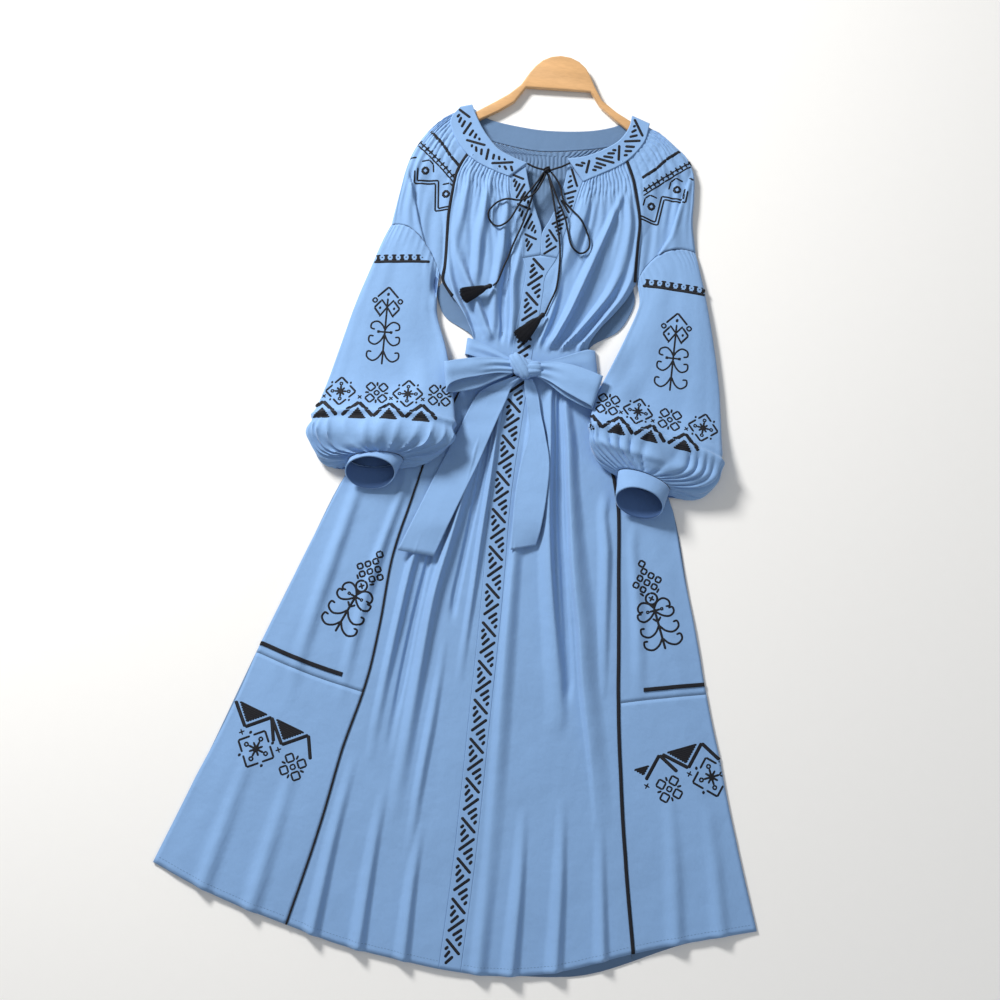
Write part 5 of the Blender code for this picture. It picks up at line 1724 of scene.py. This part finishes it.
def band_stitching(name, edges, piece, scale=1.0, start=0.0, mirror=False, end=0.0):
    """The bands' pattern of slanting bars, from one end of a band to the other."""
    track = Track(edges)
    ground = Ground(piece)
    shape = bmesh.new()
    length = track.walked[-1] - end
    offset = start
    while offset < length:
        for x0, v0, x1, v1 in BAND_BARS:
            v0, v1 = offset + v0 * scale, offset + v1 * scale
            if min(v0, v1) < 2.0 or max(v0, v1) > length - 2.0:
                continue
            turn = -1.0 if mirror else 1.0
            ends = [track.point(turn * x0 * scale, v0), track.point(turn * x1 * scale, v1)]
            stitched_line(shape, ground, ends, BAR_WIDTH * scale)
        offset += BAND_REPEAT * scale
    return finish_stitching(name, shape)


# Embroidery charts, drawn in each motif's own millimetres: u runs across it and v up it
BOLD = 1.62


class Chart:
    """The strokes of one motif."""

    def __init__(self):
        self.strokes = []

    def curve(self, *points, width=1.9, both=True):
        """A smooth stroke and, where both is set, its mirror image."""
        fine = [tuple(spline([point[i] for point in points], at / 5.0) for i in range(2))
                for at in range(5 * (len(points) - 1) + 1)]
        width *= BOLD
        self.strokes.append((width, fine))
        if both:
            self.strokes.append((width, [(-u, v) for u, v in fine]))

    def line(self, *points, width=2.2, both=False):
        """Straight strokes from corner to corner."""
        width *= BOLD
        for a, b in zip(points, points[1:]):
            self.strokes.append((width, [a, b]))
            if both:
                self.strokes.append((width, [(-a[0], a[1]), (-b[0], b[1])]))

    def ring(self, u, v, half, width=1.8, both=False):
        """The outline of a square that stands on its corner."""
        self.line((u, v + half), (u + half, v), (u, v - half), (u - half, v), (u, v + half), width=width,
                  both=both)

    def dot(self, u, v, half, both=False):
        self.line((u - half, v), (u + half, v), width=2.0 * half, both=both)

    def cross(self, u, v, half, width=1.5):
        self.line((u - half, v - half), (u + half, v + half), width=width)
        self.line((u - half, v + half), (u + half, v - half), width=width)

    def triangle(self, u, v, half, rows, upward):
        """A filled triangle with stepped sides, from its base at v."""
        for row in range(rows):
            reach = half * (1.0 - row / rows)
            high = v + (2.6 if upward else -2.6) * row
            self.line((u - reach, high), (u + reach, high), width=2.3)

    def diamond(self, u, v, size):
        """A star inside four brackets that make an open square on its corner."""
        self.dot(u, v, 0.13 * size)
        side = 0.44 * size
        for right, up in ((1, 0), (0, 1), (-1, 0), (0, -1)):
            self.line((u, v), (u + 0.42 * size * right, v + 0.42 * size * up))
            self.ring(u + 0.54 * size * right, v + 0.54 * size * up, 0.12 * size)
            tip_u, tip_v = u + size * right, v + size * up
            for turn in (1, -1):
                self.line((tip_u, tip_v), (tip_u - side * right + side * up * turn,
                                           tip_v - side * up + side * right * turn))
        for right, up in ((1, 1), (-1, 1), (-1, -1), (1, -1)):
            self.line((u, v), (u + 0.26 * size * right, v + 0.26 * size * up))
            self.dot(u + 0.62 * size * right, v + 0.62 * size * up, 0.07 * size)

    def rosette(self, u, v, size):
        """Four petals round an open centre, with a tick between them."""
        self.ring(u, v, 0.24 * size)
        for right, up in ((1, 1), (-1, 1), (-1, -1), (1, -1)):
            self.ring(u + 0.5 * size * right, v + 0.5 * size * up, 0.4 * size, 2.0)
        for right, up in ((1, 0), (0, 1), (-1, 0), (0, -1)):
            self.line((u + 0.6 * size * right, v + 0.6 * size * up),
                      (u + 0.94 * size * right, v + 0.94 * size * up))


def sleeve_tree():
    """A tree with a starry crown over three pairs of curls."""
    chart = Chart()
    chart.line((0, 109), (15, 93), both=True)
    chart.ring(18, 88, 4.0, both=True)
    chart.line((9, 88), (18, 77), (9, 66), both=True)
    chart.line((0, 79), (9, 90), both=True, width=1.9)
    chart.line((0, 79), (10, 64), both=True, width=1.9)
    chart.dot(10, 77, 1.7, both=True)
    chart.dot(0, 98, 2.0)
    chart.line((0, 92), (0, -6), width=2.0)
    chart.curve((0, 45), (4, 52), (11, 57), (19, 54), (20, 47), (14, 45))
    chart.line((-9, 42), (9, 42), width=1.9)
    chart.ring(9, 42, 1.8, both=True)
    chart.curve((0, 39), (5, 29), (13, 23), (21, 27), (21, 35), (15, 35))
    chart.curve((0, 15), (6, 4), (14, -1), (22, 4), (22, 12), (16, 12))
    return chart


def skirt_tree():
    """Squares in a diamond over a wheel and four pairs of curls."""
    chart = Chart()
    for row in (-1, 0, 1):
        for column in (-1, 0, 1):
            if row + column > -2:
                chart.ring(8.0 * (row - column), 91 + 8.0 * (row + column), 5.0, 2.1)
    chart.ring(0, 118, 5.4, 2.1)
    chart.curve(*[(8.0 * math.sin(0.785 * step), 68 + 8.0 * math.cos(0.785 * step)) for step in range(9)],
                width=2.3, both=False)
    chart.cross(0, 68, 3.2, 2.0)
    chart.line((9, 74), (14, 79), both=True)
    chart.line((0, 60), (0, -4), width=2.5)
    chart.curve((0, 54), (6, 62), (15, 65), (22, 60), (22, 53), (16, 53), width=2.2)
    chart.curve((0, 50), (9, 42), (18, 39), (25, 43), (25, 50), (19, 50), width=2.2)
    chart.line((0, 51), (8, 51), both=True)
    chart.ring(10, 51, 2.2, both=True)
    chart.line((0, 35), (6, 41), both=True)
    for low in (30, 12):
        chart.curve((0, low), (7, low - 9), (17, low - 13), (26, low - 8), (26, low), (20, low), width=2.2)
    return chart


def zigzag(chart, low, high, tops, half, width=3.4):
    """Thick bars up and down between two heights."""
    for top in tops:
        chart.line((top - half, low), (top, high), (top + half, low), width=width)


def sleeve_border(places):
    """Diamonds and rosettes over a zigzag with filled triangles, for (kind, u) pairs."""
    chart = Chart()
    for kind, u in places:
        getattr(chart, kind)(u, 1.0, 21.5 if kind == "diamond" else 17.5)
        zigzag(chart, -37.0, -15.0, (u - 23.0,), 22.0, 4.0)
        chart.triangle(u - 23.0, -40.0, 12.5, 6, True)
        chart.cross(u - 23.0, -7.0, 2.6)
    return chart


def skirt_border(places, first):
    """A zigzag with hanging triangles over diamonds and rosettes, from the first peak's place."""
    chart = Chart()
    for kind, u in places:
        getattr(chart, kind)(u, -47.0, 27.0 if kind == "diamond" else 18.0)
        chart.line((u, 0), (u + 17.0, -28.0), width=3.6)
        chart.line((u, 0), (u - 27.0, -27.0), (u - 56.0, 0), width=3.6)
        chart.triangle(u - 28.0, 0.0, 21.0, 8, False)
        chart.cross(u - 28.0, -35.0, 3.0)
    chart.strokes = [stroke for stroke in chart.strokes if min(point[0] for point in stroke[1]) > first]
    return chart


def cross_band(length):
    """A line with a row of small spools on it and crosses between them."""
    chart = Chart()
    chart.line((0, 0), (length, 0), width=3.2)
    count = int(length / 11.5)
    for step in range(count):
        u = 11.5 * step + 6.0
        chart.line((u - 3.6, 3.2), (u + 3.6, 3.2), width=1.9)
        chart.line((u, 3.2), (u, 9.4), width=3.4)
        chart.line((u - 3.6, 9.6), (u + 3.6, 9.6), width=1.9)
        chart.line((u + 4.6, 6.4), (u + 7.0, 6.4), width=1.3)
    return chart


def shoulder_chart():
    """Ribbon, row of crosses, stepped double line and two squares with hooks, from the middle step."""
    chart = Chart()
    chart.line((-16, 75), (4, 54), (15, 38), (33, 20), width=3.4)
    row = [(-36, 62), (-14, 42), (4, 25), (30, -2)]
    for a, b in zip(row, row[1:]):
        count = round(math.dist(a, b) / 7.4)
        for step in range(count):
            chart.cross(mix(a[0], b[0], step / count), mix(a[1], b[1], step / count), 3.0, 2.0)
    chart.line(*[(u - 3.8, v - 3.8) for u, v in row], width=1.7)
    for shift in (0.0, 4.2):
        chart.line((-31 - shift, 18 - shift), (-31 - shift, -shift), (-shift, -shift),
                   (2 - shift, -40 - shift), (26, -36 - shift), width=1.9)
    chart.line((-50, 31), (-34, 34), width=2.0)
    for u, v in ((-20, 14), (12, -19)):
        chart.ring(u, v, 5.4, 2.8)
        chart.line((u - 6, v + 14), (u + 5, v + 16), (u + 11, v + 10), (u + 12, v - 2), width=1.8)
    return chart


Placing = namedtuple("Placing", "chart grounds x y turn mirror", defaults=(False,))


def embroidery_places():
    """Every motif with the pieces it lies on, its foot and how far it is turned, in degrees."""
    left = [("diamond", -256 + 205), ("rosette", 0), ("diamond", 44), ("rosette", 89)]
    right = [("rosette", -89), ("diamond", -46), ("rosette", 0), ("diamond", 48)]
    for side, x, y, turn, border in (("left", -205, -64, 4.0, left), ("right", 207, -49, -6.0, right)):
        yield Placing(sleeve_border(border), ("puff_sleeve_" + side,), x, y, turn)
    yield Placing(sleeve_tree(), ("puff_sleeve_left",), -205, -14, 3.0)
    yield Placing(sleeve_tree(), ("puff_sleeve_right",), 203, 1, 0.5)
    yield Placing(cross_band(80), ("puff_sleeve_left",), -238, 130, 8.0)
    yield Placing(cross_band(92), ("puff_sleeve_right",), 148, 146, -2.0)
    yield Placing(shoulder_chart(), ("cap_left",), -163, 263, 4.0)
    yield Placing(shoulder_chart(), ("cap_right",), 160, 283, -4.0, True)
    for side, x, y, turn in (("left", -213, -397, -22.0), ("right", 237, -362, 22.0)):
        yield Placing(skirt_tree(), (f"skirt_side_{side}_upper", "front_panel_" + side), x, y, turn)
    for side, x, y, turn, border, first in (
            ("left", -337, -510, -18.0, (("diamond", 57), ("rosette", 113)), -2.0),
            ("right", 237, -513, 23.0, (("rosette", 10), ("diamond", 70)), -30.0)):
        yield Placing(skirt_border(border, first), (f"skirt_side_{side}_lower",), x, y, turn)


def embroidery():
    """Stitches every motif onto the cloth it lies on."""
    shapes = {}
    for placing in embroidery_places():
        ground = Ground(*[bpy.data.objects[name] for name in placing.grounds])
        name = "embroidery_" + placing.grounds[0]
        shape = shapes.setdefault(name, bmesh.new())
        turn = math.radians(placing.turn)
        mirror = -1.0 if placing.mirror else 1.0
        for width, points in placing.chart.strokes:
            spots = []
            for u, v in points:
                u *= mirror
                spots.append((placing.x + u * math.cos(turn) - v * math.sin(turn),
                              placing.y + u * math.sin(turn) + v * math.cos(turn)))
            stitched_line(shape, ground, spots, width)
    for name, shape in shapes.items():
        finish_stitching(name, shape)


HEM_STITCHES = 0.988
HEM_STITCH = 3.2
HEM_STITCH_PITCH = 4.4


def hem_stitching():
    """A row of stitches a little above the hem, in the cloth's colour darkened to 0.62: real thread, with
    painted shade for its sunken line.
    """
    for side in SIDES:
        for panel in ("front_panel_" + side, f"skirt_side_{side}_lower"):
            ground = Ground(bpy.data.objects[panel])
            inner = "centre" if panel.startswith("front") else "seam_" + side
            outer = "seam_" + side if panel.startswith("front") else "edge_" + side
            first, last = sorted((skirt_x(HEM_STITCHES, inner), skirt_x(HEM_STITCHES, outer)))
            shape = bmesh.new()
            x = first + 4.0
            while x < last - 6.0:
                end = x + HEM_STITCH
                line = [(x, row_y(HEM_STITCHES, x)), (end, row_y(HEM_STITCHES, end))]
                stitched_line(shape, ground, line, 0.9, 0.35)
                x += HEM_STITCH_PITCH
            finish_stitching("hem_stitches_" + panel, shape, "seam")


# Hanger
def hanger_outline():
    centre_x, centre_y = HANGER_CENTRE
    arch = []
    for step in range(1, 9):
        angle = math.radians(mix(8.0, 164.0, step / 9.0))
        arch.append((centre_x + HANGER_ARCH * math.cos(angle) * 1.02,
                     centre_y + HANGER_ARCH * math.sin(angle)))
    return HANGER_LEFT + HANGER_RIGHT + HANGER_TOP_RIGHT + arch + HANGER_TOP_LEFT


def hanger():
    """The wooden arch with its two arms, its edges rounded."""
    outline = hanger_outline()
    shape = bmesh.new()
    layer = shape.loops.layers.uv.verify()
    points = [shape.verts.new((x, y, HANGER_Z - 0.5 * HANGER_THICK)) for x, y in outline]
    face = shape.faces.new(points)
    made = bmesh.ops.extrude_face_region(shape, geom=[face])
    top = [item for item in made["geom"] if isinstance(item, bmesh.types.BMVert)]
    bmesh.ops.translate(shape, vec=(0, 0, HANGER_THICK), verts=top)
    bmesh.ops.recalc_face_normals(shape, faces=shape.faces)
    rims = [edge for edge in shape.edges if abs(edge.verts[0].co.z - edge.verts[1].co.z) < 0.01]
    bmesh.ops.bevel(shape, geom=rims, offset=2.2, segments=4, profile=0.5, affect="EDGES", material=-1,
                    clamp_overlap=True)
    bmesh.ops.triangulate(shape, faces=[face for face in shape.faces if len(face.verts) > 4])
    for face in shape.faces:
        for loop in face.loops:
            loop[layer].uv = (loop.vert.co.x * MM, loop.vert.co.y * MM)
    return make_piece("wooden_hanger", shape, look("wood"), nodes=("hanger",), sharp=50.0)


# Stage
CAMERA_AT = (0.03366267, -0.54971441, 2.06809628)
CAMERA_AZIMUTH = 7.5
CAMERA_ELEVATION = 80.0
Lamp = namedtuple("Lamp", "name place size power colour")
LAMPS = (
    Lamp("key", (-1.7, 1.5, 1.5), 0.7, 106.0, (1.0, 0.985, 0.96)),
    Lamp("fill", (1.9, -0.6, 2.2), 2.4, 9.0, (0.94, 0.97, 1.0)),
    Lamp("front", (-0.3, -2.2, 2.2), 2.0, 6.0, (1.0, 1.0, 1.0)),
)


def stage():
    shape = bmesh.new()
    bmesh.ops.create_grid(shape, x_segments=1, y_segments=1, size=4.0)
    bmesh.ops.translate(shape, vec=(0.0, -0.2, -0.0006), verts=shape.verts)
    mesh = bpy.data.meshes.new("floor")
    shape.to_mesh(mesh)
    shape.free()
    floor = bpy.data.objects.new("floor", mesh)
    mesh.materials.append(look("floor"))
    bpy.context.scene.collection.objects.link(floor)

    camera = bpy.data.cameras.new("camera")
    camera.lens = 54.0
    camera.sensor_width = 36.0
    seat = bpy.data.objects.new("camera", camera)
    azimuth, elevation = math.radians(CAMERA_AZIMUTH), math.radians(CAMERA_ELEVATION)
    back = Vector((math.sin(azimuth) * math.cos(elevation), -math.cos(azimuth) * math.cos(elevation),
                   math.sin(elevation)))
    right = Vector((math.cos(azimuth), math.sin(azimuth), 0.0))
    up = back.cross(right)
    turn = Matrix((right, up, back)).transposed()
    seat.matrix_world = Matrix.Translation(CAMERA_AT) @ turn.to_4x4()
    bpy.context.scene.collection.objects.link(seat)
    bpy.context.scene.camera = seat

    for spec in LAMPS:
        lamp = bpy.data.lights.new(spec.name, "AREA")
        lamp.shape = "DISK"
        lamp.size = spec.size
        lamp.energy = spec.power
        lamp.color = spec.colour
        holder = bpy.data.objects.new(spec.name, lamp)
        holder.location = spec.place
        aim = Vector((0.0, -0.2, 0.0)) - Vector(spec.place)
        holder.rotation_euler = aim.to_track_quat("-Z", "Y").to_euler()
        bpy.context.scene.collection.objects.link(holder)

    world = bpy.data.worlds.new("studio")
    world.use_nodes = True
    world.node_tree.nodes["Background"].inputs["Color"].default_value = (0.93, 0.96, 1.0, 1.0)
    world.node_tree.nodes["Background"].inputs["Strength"].default_value = 0.31
    bpy.context.scene.world = world
    bpy.context.scene.view_settings.view_transform = "Standard"


# Sheets: a record for a cut piece's width, length and flat area, in metres, and how it is held
Cut = namedtuple("Cut", "width length area held")


class DRESS_OT_stage(bpy.types.Operator):
    """Floor, lights and camera"""

    bl_idname = "dress.stage"
    bl_label = "Stage"

    def execute(self, context):
        stage()
        return {"FINISHED"}


class DRESS_OT_drawstring(bpy.types.Operator):
    """Drawstring with its knot, loops and tassels"""

    bl_idname = "dress.drawstring"
    bl_label = "Drawstring"

    def execute(self, context):
        drawstring()
        return {"FINISHED"}


class DRESS_OT_back(bpy.types.Operator):
    """Back of the dress and the inside of the neckband"""

    bl_idname = "dress.back"
    bl_label = "Back"

    def execute(self, context):
        back_panel()
        for side in SIDES:
            back_side_panel(side)
        # the back neckband carries painted shade
        band("band_neck_back", band_edges_neck(BACK_BAND), 0.0, ("neckband_back",), "inside",
             lambda x, y: 1.9)
        return {"FINISHED"}


class DRESS_OT_front(bpy.types.Operator):
    """Front panels and the skirt's sides"""

    bl_idname = "dress.front"
    bl_label = "Front"

    def execute(self, context):
        for side in SIDES:
            front_panel(side)
            side_panel(side, True)
            side_panel(side, False)
        return {"FINISHED"}


class DRESS_OT_bands(bpy.types.Operator):
    """Embroidered bands at the neck, the opening and down the front"""

    bl_idname = "dress.bands"
    bl_label = "Bands"

    def execute(self, context):
        edges = band_edges_centre()
        made = band("band_centre", edges, FLUSH, ("centre_band",), roll=0.0)
        band_stitching("stitching_centre", edges, made, start=4.0)
        for side in SIDES:
            edges = band_edges_v(side)
            made = band("band_v_" + side, edges, 1.5 * FLUSH, ("v_band_" + side,), roll=0.4)
            band_stitching("stitching_v_" + side, edges, made, 0.86, 2.0, side == "right")
            edges = band_edges_neck(NECKBANDS[side])
            made = band("band_neck_" + side, edges, NECKBAND_LIFT,
                        ("neckband_front_" + side,))
            band_stitching("stitching_neck_" + side, edges, made, 0.95, 4.0, side == "right")
        return {"FINISHED"}


class DRESS_OT_trims(bpy.types.Operator):
    """Black tapes along the seams and above the knee"""

    bl_idname = "dress.trims"
    bl_label = "Tapes"

    def execute(self, context):
        for side in SIDES:
            seam_tape(side)
            knee_band(side)
        return {"FINISHED"}


class DRESS_OT_sleeves(bpy.types.Operator):
    """Raglan caps, puffed sleeves and cuffs"""

    bl_idname = "dress.sleeves"
    bl_label = "Sleeves"

    def execute(self, context):
        for side in SIDES:
            sleeve_cap(side)
            lower_sleeve(side)
            cuff(side)
        return {"FINISHED"}


class DRESS_OT_belt(bpy.types.Operator):
    """Belt, bow and tails"""

    bl_idname = "dress.belt"
    bl_label = "Belt"

    def execute(self, context):
        for side in SIDES:
            belt_wrap(side)
            bow_loop(side)
            belt_tail(side)
        belt_knot()
        places = [mix(*BELT_BACK_ENDS, step / 20) for step in range(21)]
        edges = [((x, -6.0), (x, 34.0)) for x in places]
        band("band_belt_back", edges, 0.0, ("belt_back",), "cloth",
             lambda x, y: CLOTH + 0.3, CLOTH)
        return {"FINISHED"}


class DRESS_OT_embroidery(bpy.types.Operator):
    """Embroidery on sleeves, shoulders and skirt, and the stitches of the hem"""

    bl_idname = "dress.embroidery"
    bl_label = "Embroidery"

    def execute(self, context):
        embroidery()
        hem_stitching()
        return {"FINISHED"}


class DRESS_OT_hanger(bpy.types.Operator):
    """Wooden hanger inside the shoulders"""

    bl_idname = "dress.hanger"
    bl_label = "Hanger"

    def execute(self, context):
        hanger()
        return {"FINISHED"}


OPERATORS = (
    DRESS_OT_stage, DRESS_OT_drawstring, DRESS_OT_back, DRESS_OT_front, DRESS_OT_bands, DRESS_OT_trims,
    DRESS_OT_sleeves, DRESS_OT_belt, DRESS_OT_embroidery, DRESS_OT_hanger,
)


class DRESS_PT_pieces(bpy.types.Panel):
    """Lists the dress's pieces"""

    bl_label = "Dress"
    bl_idname = "DRESS_PT_pieces"
    bl_space_type = "VIEW_3D"
    bl_region_type = "UI"
    bl_category = "Dress"

    def draw(self, context):
        for name in DressSettings.__annotations__:
            self.layout.prop(context.scene.dress, name)
        for operator in OPERATORS:
            self.layout.operator(operator.bl_idname)


CLASSES = (DressSettings, *OPERATORS, DRESS_PT_pieces)


def register():
    for found in CLASSES:
        bpy.utils.register_class(found)
    bpy.types.Scene.dress = PointerProperty(type=DressSettings)


def unregister():
    del bpy.types.Scene.dress
    for found in reversed(CLASSES):
        bpy.utils.unregister_class(found)


def main():
    register()
    for operator in OPERATORS:
        group, name = operator.bl_idname.split(".")
        getattr(getattr(bpy.ops, group), name)()


if __name__ == "__main__":
    main()
